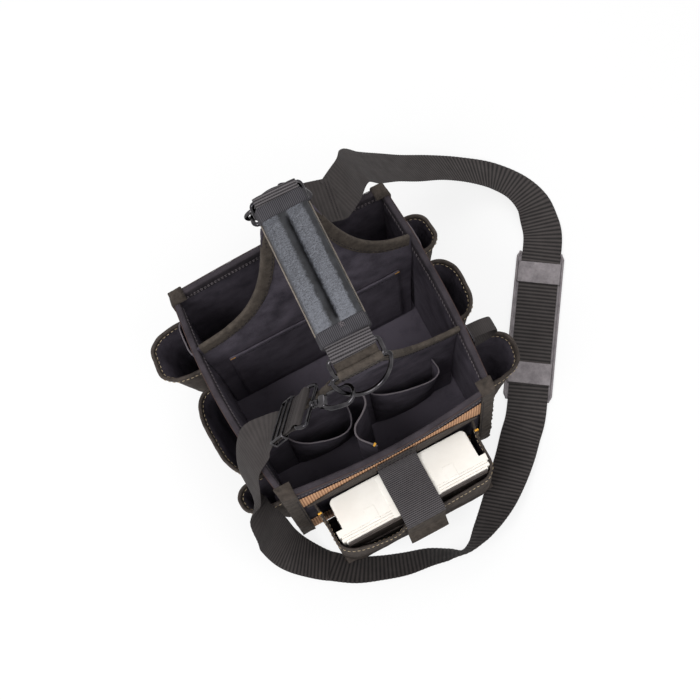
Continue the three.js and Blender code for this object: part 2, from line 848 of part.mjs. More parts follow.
// Webbing folded round an eye and back along itself, from its free end to the running side
function strapLoop(name) {
  const frame = strapLoopFrame(name);
  const round = hookWireRadius + 2 * gap + strapThickness / 2;
  const flat = strapThickness / 2 + gap;
  const turn = steps(Math.PI / 2, -Math.PI / 2, 8).map((angle) => [
    -Math.cos(angle) * round,
    Math.sin(angle) * round,
  ]);
  const upper = [[strapFold, flat], [14, flat], [5, round * 0.85]];
  const lower = upper.map(([along, rise]) => [along, -rise]).reverse();
  const profile = [...upper, ...turn, ...lower];
  return profile.map(([along, rise]) => ({ point: inFrame(frame, along, 0, rise), across: frame.y }));
}

// Least height of the middle of a strap whose edge is just clear of the floor
function floorHeight(across) {
  return (webbingWidth / 2) * Math.abs(across.z) + strapThickness / 2 + floorClearance;
}

// Middle of a strap that lies on the floor on one edge, tilted by its direction across
function onFloor(x, y, across) {
  const direction = vector(...across).normalize();
  return { point: vector(x, y, floorHeight(direction)), across: direction };
}

function inAir(x, y, z, across) {
  return { point: vector(x, y, z * strapRise), across: vector(...across).normalize() };
}

const padCentre = [254, -40];
const padDirection = vector(-0.572, -0.82, 0).normalize();
const padAcross = vector(0.82, -0.572, 0).normalize();
const padStrapZ = shoulderPadBase + 2 * gap + strapThickness / 2;

function alongPad(distance) {
  const point = vector(padCentre[0], padCentre[1], padStrapZ).addScaledVector(padDirection, distance);
  return { point, across: padAcross.clone() };
}

// Route of the shoulder strap from the front hook to the rear hook, chosen by hand
function strapRoute() {
  return [
    inAir(-115, -71.5, 270, [-0.38, -0.9, 0.2]),
    inAir(-131, -72, 260, [0, -1, 0]),
    inAir(-145, -77, 238, [0, -1, 0]),
    inAir(-154, -87, 210, [0, -0.97, -0.25]),
    inAir(-161, -102, 178, [-0.1, -0.9, -0.35]),
    inAir(-165, -129, 150, [-0.55, -0.8, -0.1]),
    inAir(-163, -141, 104, [-0.85, -0.45, 0.2]),
    inAir(-157, -156, 60, [-0.8, -0.52, 0.3]),
    inAir(-142, -173, 33, [-0.58, -0.68, 0.45]),
    onFloor(-121, -193, [-0.42, -0.66, 0.62]),
    onFloor(-95, -212, [-0.28, -0.66, 0.66]),
    onFloor(-68, -224, [-0.2, -0.64, 0.7]),
    onFloor(-39, -234, [-0.16, -0.62, 0.74]),
    onFloor(-10, -241, [-0.1, -0.55, 0.83]),
    onFloor(14, -250, [0, -0.42, 0.91]),
    onFloor(33, -256, [0.2, -0.25, 0.95]),
    onFloor(51, -252, [0.42, -0.22, 0.88]),
    onFloor(72, -240, [0.56, -0.36, 0.75]),
    onFloor(98, -222, [0.64, -0.52, 0.56]),
    onFloor(124, -200, [0.68, -0.64, 0.36]),
    onFloor(147, -179, [0.69, -0.68, 0.22]),
    onFloor(166, -159, [0.66, -0.74, 0.08]),
    alongPad(124),
    alongPad(60),
    alongPad(0),
    alongPad(-60),
    alongPad(-124),
    onFloor(332, 84, [0.97, -0.15, -0.12]),
    onFloor(335, 106, [0.95, 0.1, -0.3]),
    onFloor(328, 134, [0.82, 0.4, -0.42]),
    inAir(308, 162, 17, [0.6, 0.65, -0.45]),
    inAir(276, 182, 34, [0.35, 0.8, -0.48]),
    inAir(238, 193, 64, [0.15, 0.87, -0.45]),
    inAir(200, 194, 104, [0.1, 0.88, -0.42]),
    inAir(168, 190, 152, [0.05, 0.92, -0.4]),
    inAir(141, 180, 203, [0.05, 0.94, -0.33]),
    inAir(120, 169, 254, [0, 0.97, -0.2]),
    inAir(102, 145, 287, [0.1, 0.98, 0.1]),
  ];
}

// The route with smooth steps between its chosen stations
function smoothStations(stations, each) {
  const points = stations.map((station) => station.point);
  const directions = stations.map((station) => station.across);
  const path = new THREE.CatmullRomCurve3(points, false, 'centripetal');
  const sides = new THREE.CatmullRomCurve3(directions, false, 'catmullrom');
  const spans = stations.length - 1;
  return steps(0, 1, spans * each).map((share) => {
    const across = sides.getPoint(share).normalize();
    const point = path.getPoint(share);
    return { point: point.setZ(Math.max(point.z, floorHeight(across))), across };
  });
}

function addShoulderStrap() {
  const front = strapLoop('front');
  const rear = strapLoop('rear').reverse();
  const middle = smoothStations([front[front.length - 1], ...strapRoute(), rear[0]], 2);
  const stations = [...front.slice(0, -1), ...middle, ...rear.slice(1)];
  stations.forEach((station) => {
    station.width = webbingWidth;
  });
  addPart('shoulder_strap', ribbonGeometry(stations, strapThickness), 'strapWebbing');
}

// Adjuster: a frame round the doubled webbing with a middle bar over it
function addAdjuster() {
  const frame = strapLoopFrame('front');
  const inside = webbingWidth / 2 + gap + 0.2;
  const clear = strapThickness + 2 * gap;
  const bar = 3;
  const end = adjusterFrom + adjusterLength;
  const sides = [-1, 1].map((sign) => {
    const edges = [sign * inside, sign * (inside + adjusterSide)].sort((a, b) => a - b);
    return boxIn(frame, [adjusterFrom, edges[0], -clear - bar], [end, edges[1], clear + bar]);
  });
  const across = inside + adjusterSide;
  const middle = adjusterFrom + adjusterLength / 2;
  const bars = [
    boxIn(frame, [adjusterFrom, -across, -clear - bar], [adjusterFrom + bar, across, -clear]),
    boxIn(frame, [end - bar, -across, -clear - bar], [end, across, -clear]),
    boxIn(frame, [middle - bar / 2, -across, clear], [middle + bar / 2, across, clear + bar]),
  ];
  addPart('strap_adjuster', joinGeometries([...sides, ...bars]), 'nickel');
}

// Shoulder pad: a railed plate under the strap and two bands over it
function addShoulderPad() {
  const frame = { origin: vector(...padCentre, 0), x: padDirection, y: padAcross, z: vector(0, 0, 1) };
  frame.y = frame.z.clone().cross(frame.x);
  const halfLength = shoulderPadLength / 2;
  const halfWidth = shoulderPadWidth / 2;
  const inner = halfWidth - shoulderPadRail;
  const top = shoulderPadRailHeight;
  const pieces = [
    boxIn(frame, [-halfLength, -halfWidth, 0], [halfLength, halfWidth, shoulderPadBase]),
    boxIn(frame, [-halfLength, -halfWidth, 0], [halfLength, -inner, top]),
    boxIn(frame, [-halfLength, inner, 0], [halfLength, halfWidth, top]),
  ];
  const roof = padStrapZ + strapThickness / 2 + gap;
  for (const sign of [-1, 1]) {
    const middle = sign * (halfLength - shoulderBandInset - shoulderBandLength / 2);
    const from = middle - shoulderBandLength / 2;
    const to = middle + shoulderBandLength / 2;
    pieces.push(
      boxIn(frame, [from, -halfWidth, roof], [to, halfWidth, roof + shoulderBandWall]),
      boxIn(frame, [from, -halfWidth, 0], [to, -inner, roof + shoulderBandWall]),
      boxIn(frame, [from, inner, 0], [to, halfWidth, roof + shoulderBandWall]),
    );
  }
  addPart('shoulder_pad', joinGeometries(pieces), 'padRubber');
}

// A pouch on a surface, given by place(along, height, out): open at its mouth
function pouchGeometry(place, pouch) {
  const { middle, half, bottom, mouth, heel, depth, seat, squareness } = pouch;
  const power = (value) => Math.sign(value) * Math.abs(value) ** squareness;
  const thickness = pouch.thickness ?? pocketThickness;
  return sheetGeometry(steps(0, Math.PI, 12), steps(bottom, mouth, 3), (angle, z, face) => {
    const shrink = (1 - face) * thickness;
    const share = (z - bottom) / (mouth - bottom);
    const reach = mix(heel, depth, share) - shrink;
    const along = middle + power(Math.cos(angle)) * (half - shrink);
    return place(along, z, seat + power(Math.sin(angle)) * reach);
  });
}

// Each side pocket: name, wall, middle, half width, height of the mouth and reach at the mouth
const sidePockets = [
  ['left_rear_pocket', 'left', 88, 33, 190, 52],
  ['left_middle_pocket', 'left', -11, 62, 150, 50],
  ['left_front_pocket', 'left', -95, 20, 130, 46],
  ['right_rear_pocket', 'right', 79, 30, 190, 40],
  ['right_middle_pocket', 'right', 1, 44, 190, 39],
  ['right_front_pocket', 'right', -86, 30, 150, 60],
];

function addSidePockets() {
  const shape = { bottom: pocketBottom, heel: pocketHeel, seat: gap, squareness: pocketSquareness };
  for (const [name, side, middle, half, mouth, depth] of sidePockets) {
    const place = (along, z, out) => wallPoint(side, along, z, out);
    addPart(name, pouchGeometry(place, { ...shape, middle, half, mouth, depth }), 'suede');
  }
  for (const [side, middle] of [['left', 91], ['right', 76]]) {
    const place = (along, z, out) => wallPoint(side, along, z, out);
    addPart(`${side}_sleeve_pocket`, pouchGeometry(place, { ...sleeve, middle, seat: gap }), 'fabric');
  }
}

// Webbing loop on the right wall with a wire ring hanging in it
function addToolLoop() {
  const wall = wallPoint('right', toolLoopY + toolLoopWidth / 2, toolLoopTop, gap).x;
  const seat = wall + strapThickness / 2;
  const profile = toolLoopProfile.map(([out, z]) => vector(seat + out, toolLoopY, z));
  const path = new THREE.CatmullRomCurve3(profile);
  const stations = path.getPoints(20).map((point) => (
    { point, across: vector(0, 1, 0), width: toolLoopWidth }
  ));
  addPart('tool_loop', ribbonGeometry(stations, strapThickness), 'strapWebbing');
  const frame = {
    origin: vector(seat + toolRingOut, toolLoopY, toolRingZ),
    x: vector(0, 1, 0),
    y: vector(0, 0, 1),
    z: vector(1, 0, 0),
  };
  const outline = roundedRectangle(frame, toolRingHalfWidth, toolRingHalfHeight, toolRingCorner);
  addPart('tool_ring', wireGeometry(outline, frame.z, toolRingWire, true), 'nickel');
}

// Pockets and the soft partition inside the body
function addInnerPockets() {
  const onFront = (along, z, out) => dividerPoint(dividers.front, along, z, dividerThickness / 2 + out);
  const shape = {
    bottom: innerPocketBottom, mouth: innerPocketMouth, heel: 8, seat: gap, squareness: 0.9,
  };
  const left = { ...shape, middle: -56, half: 40, depth: 32 };
  const right = { ...shape, middle: 56, half: 42, depth: 24 };
  addPart('front_inner_pocket_left', pouchGeometry(onFront, left), 'fabric');
  addPart('front_inner_pocket_right', pouchGeometry(onFront, right), 'fabric');
  const span = [-flatPocketHalfWidth, flatPocketHalfWidth];
  const seat = dividerThickness / 2 + gap;
  const flat = sheetGeometry(span, [innerPocketBottom, flatPocketTop], (x, z, face) => (
    dividerPoint(dividers.rear, x, z, -seat - (1 - face) * liningThickness)
  ));
  addPart('rear_divider_pocket', flat, 'fabric');
  addPartition();
}

function addPartition() {
  const from = -(dividerSpacing / 2 + partitionFromDivider);
  const to = -(bodyDepth / 2 - partitionFromWall);
  const plan = partitionPlan.map(([x, share]) => vector(x, mix(from, to, share), 0));
  const path = new THREE.CatmullRomCurve3(plan);
  const middle = path.getPoints(10);
  const along = tangents(middle);
  const columns = middle.map((_, index) => index);
  const partition = sheetGeometry(columns, [baseThickness + gap, partitionTop], (index, z, face) => {
    const across = along[index].clone().cross(vector(0, 0, 1));
    const point = middle[index].clone().addScaledVector(across, (face - 0.5) * liningThickness);
    return point.setZ(z);
  });
  addPart('front_partition', partition, 'fabric');
}

// A box of the tray: half its width, its near and far face in front of the origin, its heights
function trayBox(halfX, [near, far], [low, high], middle = trayMiddle) {
  const box = new THREE.BoxGeometry(2 * halfX, far - near, high - low);
  return box.translate(middle, -(near + far) / 2, (low + high) / 2);
}

// Parts tray, stored on edge: a box with four compartments behind a lid with two latches
function addTray() {
  const bodyFront = trayRear + trayBodyDepth;
  const heights = [trayBottom, trayTop];
  let body = toSolid(trayBox(trayWidth / 2, [trayRear, bodyFront], heights));
  const cellHalf = trayWidth / 4 - 1.5 * trayWall;
  const cellDepth = [trayRear + trayWall, bodyFront + 1];
  const middleZ = (trayBottom + trayTop) / 2;
  const lowCell = [trayBottom + trayWall, middleZ - trayWall];
  const highCell = [middleZ + trayWall, trayTop - trayWall];
  for (const middle of [trayMiddle - trayWidth / 4, trayMiddle + trayWidth / 4]) {
    for (const cell of [lowCell, highCell]) {
      body = body.subtract(toSolid(trayBox(cellHalf, cellDepth, cell, middle)));
    }
  }
  addPart('tray_body', fromSolid(body), 'trayPlastic');
  const lid = toSolid(trayBox(trayLidWidth / 2, [bodyFront + gap, trayFront], heights));
  const hollowHeights = [trayBottom + trayWall, trayTop - trayWall];
  const hollow = trayBox(trayLidWidth / 2 - trayWall, [bodyFront, trayFront - trayWall], hollowHeights);
  addPart('tray_lid', fromSolid(lid.subtract(toSolid(hollow))), 'trayPlastic');
  const latchHeights = [trayTop + gap, trayTop + gap + latchThickness];
  for (const [side, sign] of [['left', -1], ['right', 1]]) {
    const middle = trayMiddle + sign * latchSpread;
    const latch = trayBox(latchHalfWidth, [bodyFront - 8, bodyFront + 9], latchHeights, middle);
    addPart(`tray_latch_${side}`, latch, 'trayPlastic');
  }
}

const trayFront = trayRear + trayBodyDepth + gap + trayLidDepth;
const trayPocketSeat = bandThickness + 2 * gap;

// Pocket that carries the tray: a square pouch joined to a floor
function addTrayPocket() {
  const half = trayLidWidth / 2 + 2 * trayClearance + pocketThickness + 4;
  const inner = trayFront + trayPocketSlack - bodyDepth / 2 - trayPocketSeat;
  const place = (along, z, out) => vector(along, -(bodyDepth / 2 + out), z);
  const pocket = {
    middle: trayMiddle,
    half,
    bottom: trayBottom - 5,
    mouth: trayPocketMouth,
    heel: inner + pocketThickness,
    depth: inner + pocketThickness,
    seat: trayPocketSeat,
    squareness: trayPocketSquareness,
  };
  const floorDepth = [trayRear, trayFront + trayPocketSlack + 1];
  const floorHeights = [trayBottom - gap - trayFloorThickness, trayBottom - gap];
  const floor = trayBox(half - pocketThickness / 2, floorDepth, floorHeights);
  addPart('tray_pocket', joinGeometries([pouchGeometry(place, pocket), floor]), 'suede');
}

// Strap that closes over the tray, its sewn root on the wall and the patch that it sticks to
function addTrayStrap() {
  const panel = trayFront + trayPocketSlack + pocketThickness;
  const patchOut = panel + gap;
  const patchFace = patchOut + patchThickness;
  const patch = trayBox(patchHalfWidth, [patchOut, patchFace], patchHeights, trayStrapX);
  addPart('strap_patch', patch, 'fabric');
  const run = patchFace + gap + strapThickness / 2;
  const rootSeat = bandThickness + 2 * gap + strapThickness / 2;
  const rootY = -wallPoint('front', trayStrapX, 160, rootSeat).y;
  const root = [[rootY + 3.2, 196], [rootY + 1.4, 180], [rootY, 158]];
  const over = trayTop + latchThickness + 3 * gap + strapThickness / 2;
  const profile = [
    [rootY + 0.6, 155],
    [rootY + 4, 149],
    [rootY + 12, over + 1],
    [rootY + 24, over],
    [trayFront, over],
    [run, over - 5],
    [run, over - 12],
    [run, 112],
    [run, 98],
    [run, 84],
    [run + trayStrapFlare / 2, 66],
    [run + trayStrapFlare, trayStrapEnd],
  ];
  const onPath = ([out, z]) => vector(trayStrapX, -out, z);
  const station = (point) => ({ point, across: vector(1, 0, 0), width: webbingWidth });
  const smooth = new THREE.CatmullRomCurve3(profile.map(onPath), false, 'centripetal');
  const rootStations = root.map(onPath).map(station);
  addPart('tray_strap_root', ribbonGeometry(rootStations, strapThickness), 'strapWebbing');
  const stations = smooth.getPoints(22).map(station);
  addPart('tray_strap', ribbonGeometry(stations, strapThickness), 'strapWebbing');
}

addBox();
addRimBindings();
addCornerTrims();
addFrontBands();
for (const [name, divider] of Object.entries(dividers)) {
  addDivider(name, divider);
  addTab(name, divider);
  addRectangularRing(name, divider);
  addDRing(name, divider);
}
addHandle();
for (const [name, hook] of Object.entries(hooks)) {
  addHook(name, hook);
}
addShoulderStrap();
addAdjuster();
addShoulderPad();
addSidePockets();
addToolLoop();
addInnerPockets();
addTray();
addTrayPocket();
addTrayStrap();

export default carrier;
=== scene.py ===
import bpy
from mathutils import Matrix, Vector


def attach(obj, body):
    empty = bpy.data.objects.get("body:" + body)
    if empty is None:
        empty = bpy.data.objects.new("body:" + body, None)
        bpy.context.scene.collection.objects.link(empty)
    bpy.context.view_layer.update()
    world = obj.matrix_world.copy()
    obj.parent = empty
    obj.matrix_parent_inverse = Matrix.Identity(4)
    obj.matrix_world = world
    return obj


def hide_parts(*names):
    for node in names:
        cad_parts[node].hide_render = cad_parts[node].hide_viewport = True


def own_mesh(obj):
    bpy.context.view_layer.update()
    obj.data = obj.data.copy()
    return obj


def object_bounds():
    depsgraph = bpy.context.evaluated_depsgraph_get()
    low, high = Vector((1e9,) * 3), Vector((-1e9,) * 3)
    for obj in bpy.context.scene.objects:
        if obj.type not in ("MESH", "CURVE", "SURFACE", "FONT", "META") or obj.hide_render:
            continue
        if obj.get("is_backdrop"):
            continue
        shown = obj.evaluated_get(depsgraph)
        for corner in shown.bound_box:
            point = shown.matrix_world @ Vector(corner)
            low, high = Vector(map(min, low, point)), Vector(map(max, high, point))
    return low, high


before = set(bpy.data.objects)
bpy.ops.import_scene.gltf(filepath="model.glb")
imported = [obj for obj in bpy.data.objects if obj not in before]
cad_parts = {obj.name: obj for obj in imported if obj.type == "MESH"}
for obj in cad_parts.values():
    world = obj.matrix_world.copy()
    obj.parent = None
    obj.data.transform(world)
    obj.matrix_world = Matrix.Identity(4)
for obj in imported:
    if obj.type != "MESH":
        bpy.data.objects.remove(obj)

"""Looks of an open top tool carrier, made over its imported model.

Every class dresses one sub-assembly. Shapes are worked out in millimetres with the formulas
of the model, and become metres when a mesh is made. Cloth is built from curved grids with
folds made in code, because the pieces are thin shells that sit in narrow places.
"""
import logging
import math
from collections.abc import Iterable, Sequence
from dataclasses import dataclass, field, replace
from enum import Enum

import bmesh
import bpy
import numpy as np
from mathutils import Color, Matrix, Vector

log = logging.getLogger("carrier")
MM = 0.001
METRE = 1 / MM
Point = tuple[float, float, float]
Pair = tuple[float, float]

# Body of the carrier
BODY_WIDTH = 268.0
BODY_TAPER = 7.0
BODY_DEPTH = 272.0
BODY_HEIGHT = 240.0
WALL = 4.0
BASE = 6.0
BELLY = {"front": 10.0, "rear": 4.0, "left": 12.0, "right": 7.0}
BELLY_POWER = 2.5
GAP = 0.3
BINDING = 1.5
BINDING_DROP = 20.0
WEBBING = 50.8
STRAP_THICKNESS = 1.6
RIB = 4.0

# Arched dividers
SWOOP_TOP = 385.0
SWOOP_SPREAD = 32.0
TAB_HALF = 27.0
SHEET_TOP = 372.0
LEAN_START = 200.0
LEAN_POWER = 1.3
DIVIDER = 3.0

# Rings, handle and hooks
RING_WIRE = 2.5
D_BAR_RISE = 9.0
RING_BAR_RISE = 15.0
HANDLE_Z = 398.0
HANDLE_FRONT_Y = -67.0
HANDLE_REAR_Y = 124.0

# Ranges that noise mostly keeps to
NOISE_LOW = 0.3
NOISE_HIGH = 0.7


def vec(*values: float) -> np.ndarray:
    """Makes an array of numbers."""
    return np.array(values, float)


X_AXIS = vec(1, 0, 0)
Y_AXIS = vec(0, 1, 0)
Z_AXIS = vec(0, 0, 1)


def unit(value: np.ndarray) -> np.ndarray:
    """Scales vectors to a length of one."""
    return value / np.maximum(np.linalg.norm(value, axis=-1, keepdims=True), 1e-9)


def mix(low: float, high: float, share: float | np.ndarray) -> float | np.ndarray:
    """Blends two values."""
    return low + (high - low) * share


def ease(value: float | np.ndarray, low: float, high: float) -> np.ndarray:
    """Rises smoothly from 0 to 1 between two limits."""
    share = np.clip((np.asarray(value, float) - low) / (high - low), 0, 1)
    return share * share * (3 - 2 * share)


def tangents(path: np.ndarray, closed: bool = False) -> np.ndarray:
    """Finds the direction of a path at each of its points.

    Args:
        path: Points of the path.
        closed: Whether the last point joins the first.

    Returns:
        One unit vector for each point.
    """
    if closed:
        return unit(np.roll(path, -1, 0) - np.roll(path, 1, 0))
    before = np.concatenate([path[:1], path[:-1]])
    after = np.concatenate([path[1:], path[-1:]])
    return unit(after - before)


def lengths(path: np.ndarray) -> np.ndarray:
    """Measures a path."""
    return np.concatenate([[0.0], np.cumsum(np.linalg.norm(np.diff(path, axis=0), axis=1))])


def spline(points: np.ndarray, each: int = 8, power: float = 0.5) -> np.ndarray:
    """Draws a smooth curve through points.

    Args:
        points: Points that the curve passes through.
        each: Steps between two of them.
        power: Knot spacing, 0.5 for centripetal and 0 for uniform.

    Returns:
        Points of the curve.
    """
    ends = np.concatenate([[2 * points[0] - points[1]], points, [2 * points[-1] - points[-2]]])
    made = []
    for k in range(len(points) - 1):
        p0, p1, p2, p3 = ends[k : k + 4]
        t1, t2, t3 = (max(np.linalg.norm(b - a) ** power, 1e-4) for a, b in ((p0, p1), (p1, p2), (p2, p3)))
        m1 = ((p1 - p0) / t1 - (p2 - p0) / (t1 + t2) + (p2 - p1) / t2) * t2
        m2 = ((p2 - p1) / t2 - (p3 - p1) / (t2 + t3) + (p3 - p2) / t3) * t2
        for u in np.linspace(0, 1, each, endpoint=False):
            a, b = 2 * u**3 - 3 * u**2 + 1, u**3 - 2 * u**2 + u
            made.append(a * p1 + b * m1 + (1 - a) * p2 + (u**3 - u**2) * m2)
    return np.array([*made, points[-1]])


def respaced(path: np.ndarray, step: float, *others: np.ndarray) -> list[np.ndarray]:
    """Places points along a path at equal steps.

    Args:
        path: Points of the path.
        step: Wanted distance between points.
        *others: Values that go with the points and are read at the same places.

    Returns:
        The new path, then the other values along it.
    """
    at = lengths(path)
    places = np.linspace(0, at[-1], max(2, round(at[-1] / step) + 1))
    made = []
    for values in (path, *others):
        flat = np.asarray(values, float).reshape(len(path), -1)
        rows = np.stack([np.interp(places, at, column) for column in flat.T], 1)
        made.append(rows if np.ndim(values) > 1 else rows[:, 0])
    return made


def ring_path(points: np.ndarray, step: float) -> np.ndarray:
    """Closes a path and places its points at equal steps."""
    points = np.asarray(points, float)
    return respaced(np.concatenate([points, points[:1]]), step)[0][:-1]


def for_each(path: np.ndarray, direction: np.ndarray) -> np.ndarray:
    """Gives the same direction for each point of a path."""
    return np.tile(direction, (len(path), 1))


def spread(*values: float | np.ndarray) -> list[np.ndarray]:
    """Brings values to one common shape."""
    return np.broadcast_arrays(*(np.asarray(value, float) for value in values))


@dataclass(frozen=True)
class Frame:
    """Origin and three axes of a place on the carrier."""

    origin: np.ndarray
    x: np.ndarray
    y: np.ndarray
    z: np.ndarray

    def at(self, x: float, y: float = 0.0, z: float = 0.0) -> np.ndarray:
        """Finds a point from its place in this frame."""
        return self.origin + self.x * x + self.y * y + self.z * z


@dataclass(frozen=True)
class Ripple:
    """Seeded folds: a smooth wavy value for each point in space.

    The folds are between low and high millimetres long. The stretch draws them out along an axis,
    bend curves them, fall weakens the short ones and level brings the sum to about 1.
    """

    seed: int
    low: float = 18.0
    high: float = 60.0
    stretch: Point = (1.0, 1.0, 1.0)
    waves: int = 9
    bend: float = 0.6
    fall: float = 0.6
    level: float = 0.55

    def at(self, points: np.ndarray) -> np.ndarray:
        """Reads the folds.

        Args:
            points: Points in millimetres, in the last axis.

        Returns:
            A value between about -1 and 1 for each point.
        """
        random = np.random.RandomState(self.seed)
        total = np.zeros(points.shape[:-1])
        scaled = points / np.array(self.stretch)
        for _ in range(self.waves):
            direction = unit(random.normal(size=3))
            wave = math.exp(random.uniform(math.log(self.low), math.log(self.high)))
            phase = random.uniform(0, 2 * math.pi)
            bend = self.bend * np.sin(scaled @ unit(random.normal(size=3)) * 2 * math.pi / self.high)
            strength = (wave / self.high) ** self.fall
            total += np.sin(scaled @ direction * 2 * math.pi / wave + phase + bend) * strength
        return total / (self.level * self.waves)

    def seeded(self, number: int) -> "Ripple":
        """Gives folds of the same kind with another seed, counted on from this one."""
        return replace(self, seed=self.seed + number)

    def creases(self, points: np.ndarray) -> np.ndarray:
        """Reads the folds with sharp valleys, as crumpled hide has."""
        return np.abs(self.at(points)) ** 0.7


# A direction that no path follows, and how a cord's ends and a block's corners are rounded
SKEW = (0.31, 0.17, 0.93)
CAP_REACH = 0.6
CAP_SIZE = 0.55
BLOCK_CORNER = 1.6
HALF_AT_MOST = 1 / 2.01


class Shape:
    """Vertices, faces and texture places of one piece, in millimetres."""

    def __init__(self) -> None:
        """Starts an empty shape."""
        self.points: list[np.ndarray] = []
        self.count = 0
        self.faces: list[tuple[int, ...]] = []
        self.places: list[np.ndarray] = []
        self.marks: list[int] = []

    def add(self, points: np.ndarray, places: np.ndarray | None = None) -> int:
        """Adds vertices.

        Args:
            points: Vertices, in the last axis.
            places: Texture place of each, in millimetres of cloth.

        Returns:
            Number of the first new vertex.
        """
        flat = np.asarray(points, float).reshape(-1, 3)
        start = self.count
        self.points.append(flat)
        self.count += len(flat)
        flat_places = flat[:, :2] if places is None else np.asarray(places, float).reshape(-1, 2)
        self.places.append(flat_places)
        return start

    def face(self, *corners: int, mark: int = 0) -> None:
        """Adds one face."""
        self.faces.append(corners)
        self.marks.append(mark)

    def grid(self, points: np.ndarray, places: np.ndarray, mark: int = 0, flip: bool = False) -> int:
        """Adds a grid of quads.

        Args:
            points: Vertices by row and column.
            places: Texture places by row and column.
            mark: Which of the piece's finishes it has.
            flip: Whether the faces look the other way.

        Returns:
            Number of the first new vertex.
        """
        start = self.add(points, places)
        rows, columns = points.shape[:2]
        for i in range(rows - 1):
            for j in range(columns - 1):
                a = start + i * columns + j
                corners = (a, a + 1, a + columns + 1, a + columns)
                self.face(*(corners[::-1] if flip else corners), mark=mark)
        return start

    def sheet(
        self,
        middle: np.ndarray,
        thickness: float | np.ndarray,
        marks: tuple[int, int] = (0, 0),
        round_edge: float = 0.5,
    ) -> None:
        """Adds a thick sheet with rounded edges about a middle surface.

        Args:
            middle: Points of the middle surface by row and column.
            thickness: Thickness of the cloth.
            marks: Finishes of its outer and inner face.
            round_edge: How far the edge bulges, as a share of the thickness.
        """
        along, across = np.gradient(middle, axis=0), np.gradient(middle, axis=1)
        normal = unit(np.cross(along, across))
        half = np.broadcast_to(np.asarray(thickness, float) / 2, middle.shape[:2])[..., None]
        u = np.concatenate([[0], np.cumsum(np.linalg.norm(np.diff(middle, axis=1), axis=2).mean(0))])
        v = np.concatenate([[0], np.cumsum(np.linalg.norm(np.diff(middle, axis=0), axis=2).mean(1))])
        places = np.stack(np.meshgrid(u, v), -1)
        outer = self.grid(middle + normal * half, places, marks[0], flip=True)
        inner = self.grid(middle - normal * half, places, marks[1])
        rows, columns = middle.shape[:2]
        loop = [(0, j) for j in range(columns)]
        loop += [(i, columns - 1) for i in range(1, rows)]
        loop += [(rows - 1, j) for j in range(columns - 2, -1, -1)]
        loop += [(i, 0) for i in range(rows - 2, 0, -1)]
        into = [(min(max(i, 1), rows - 2), min(max(j, 1), columns - 2)) for i, j in loop]
        edge = np.array([middle[k] for k in loop])
        outward = unit(edge - np.array([middle[k] for k in into]))
        reach = np.array([half[k] for k in loop]) * 2 * round_edge
        rim = self.add(edge + outward * reach, np.array([places[k] for k in loop]))
        for k, (i, j) in enumerate(loop):
            m = (k + 1) % len(loop)
            a, b = i * columns + j, loop[m][0] * columns + loop[m][1]
            self.face(outer + a, outer + b, rim + m, rim + k, mark=marks[0])
            self.face(inner + b, inner + a, rim + k, rim + m, mark=marks[0])

    def loft(
        self,
        rings: np.ndarray,
        closed: bool = False,
        mark: int = 0,
        places: np.ndarray | None = None,
    ) -> None:
        """Adds a solid through a row of sections.

        Args:
            rings: Points by section and place round it.
            closed: Whether the last section joins the first.
            mark: Which of the piece's finishes it has.
            places: Texture places by section and place round it, when they differ from the lengths.
        """
        sections, round_count = rings.shape[:2]
        if places is None:
            along = lengths(rings.mean(1))
            around = lengths(np.concatenate([rings[0], rings[0][:1]]))[:-1]
            places = np.stack(np.meshgrid(around, along), -1)
        start = self.add(rings, places)
        for k in range(sections if closed else sections - 1):
            here, there = start + k * round_count, start + (k + 1) % sections * round_count
            for i in range(round_count):
                j = (i + 1) % round_count
                self.face(here + i, here + j, there + j, there + i, mark=mark)
        if not closed:
            self.face(*range(start + round_count - 1, start - 1, -1), mark=mark)
            end = start + (sections - 1) * round_count
            self.face(*range(end, end + round_count), mark=mark)

    def tube(
        self,
        path: np.ndarray,
        radius: float | np.ndarray,
        closed: bool = False,
        sides: int = 12,
        mark: int = 0,
    ) -> None:
        """Adds a round wire or cord.

        Args:
            path: Points of its middle.
            radius: Radius, or one for each point.
            closed: Whether it joins end to end.
            sides: Corners round it.
            mark: Which of the piece's finishes it has.
        """
        direction = tangents(path, closed)
        side = np.zeros_like(path)
        side[0] = unit(np.cross(direction[0], SKEW))
        for k in range(1, len(path)):
            side[k] = unit(side[k - 1] - direction[k] * (side[k - 1] @ direction[k]))
        third = np.cross(direction, side)
        if closed:
            last = unit(side[-1] - direction[0] * (side[-1] @ direction[0]))
            turn = math.atan2(last @ third[0], last @ side[0])
            angle = -np.linspace(0, turn, len(path))[:, None]
            cos, sin = np.cos(angle), np.sin(angle)
            side, third = side * cos + third * sin, third * cos - side * sin
        size = np.broadcast_to(np.asarray(radius, float), len(path))
        places = path
        if not closed:
            first = path[0] - direction[0] * size[0] * CAP_REACH
            final = path[-1] + direction[-1] * size[-1] * CAP_REACH
            places = np.concatenate([[first], path, [final]])
            size = np.concatenate([[size[0] * CAP_SIZE], size, [size[-1] * CAP_SIZE]])
            side = np.concatenate([side[:1], side, side[-1:]])
            third = np.concatenate([third[:1], third, third[-1:]])
        spin = circle(side, third, sides)
        self.loft(places[:, None] + spin * size[:, None, None], closed, mark)

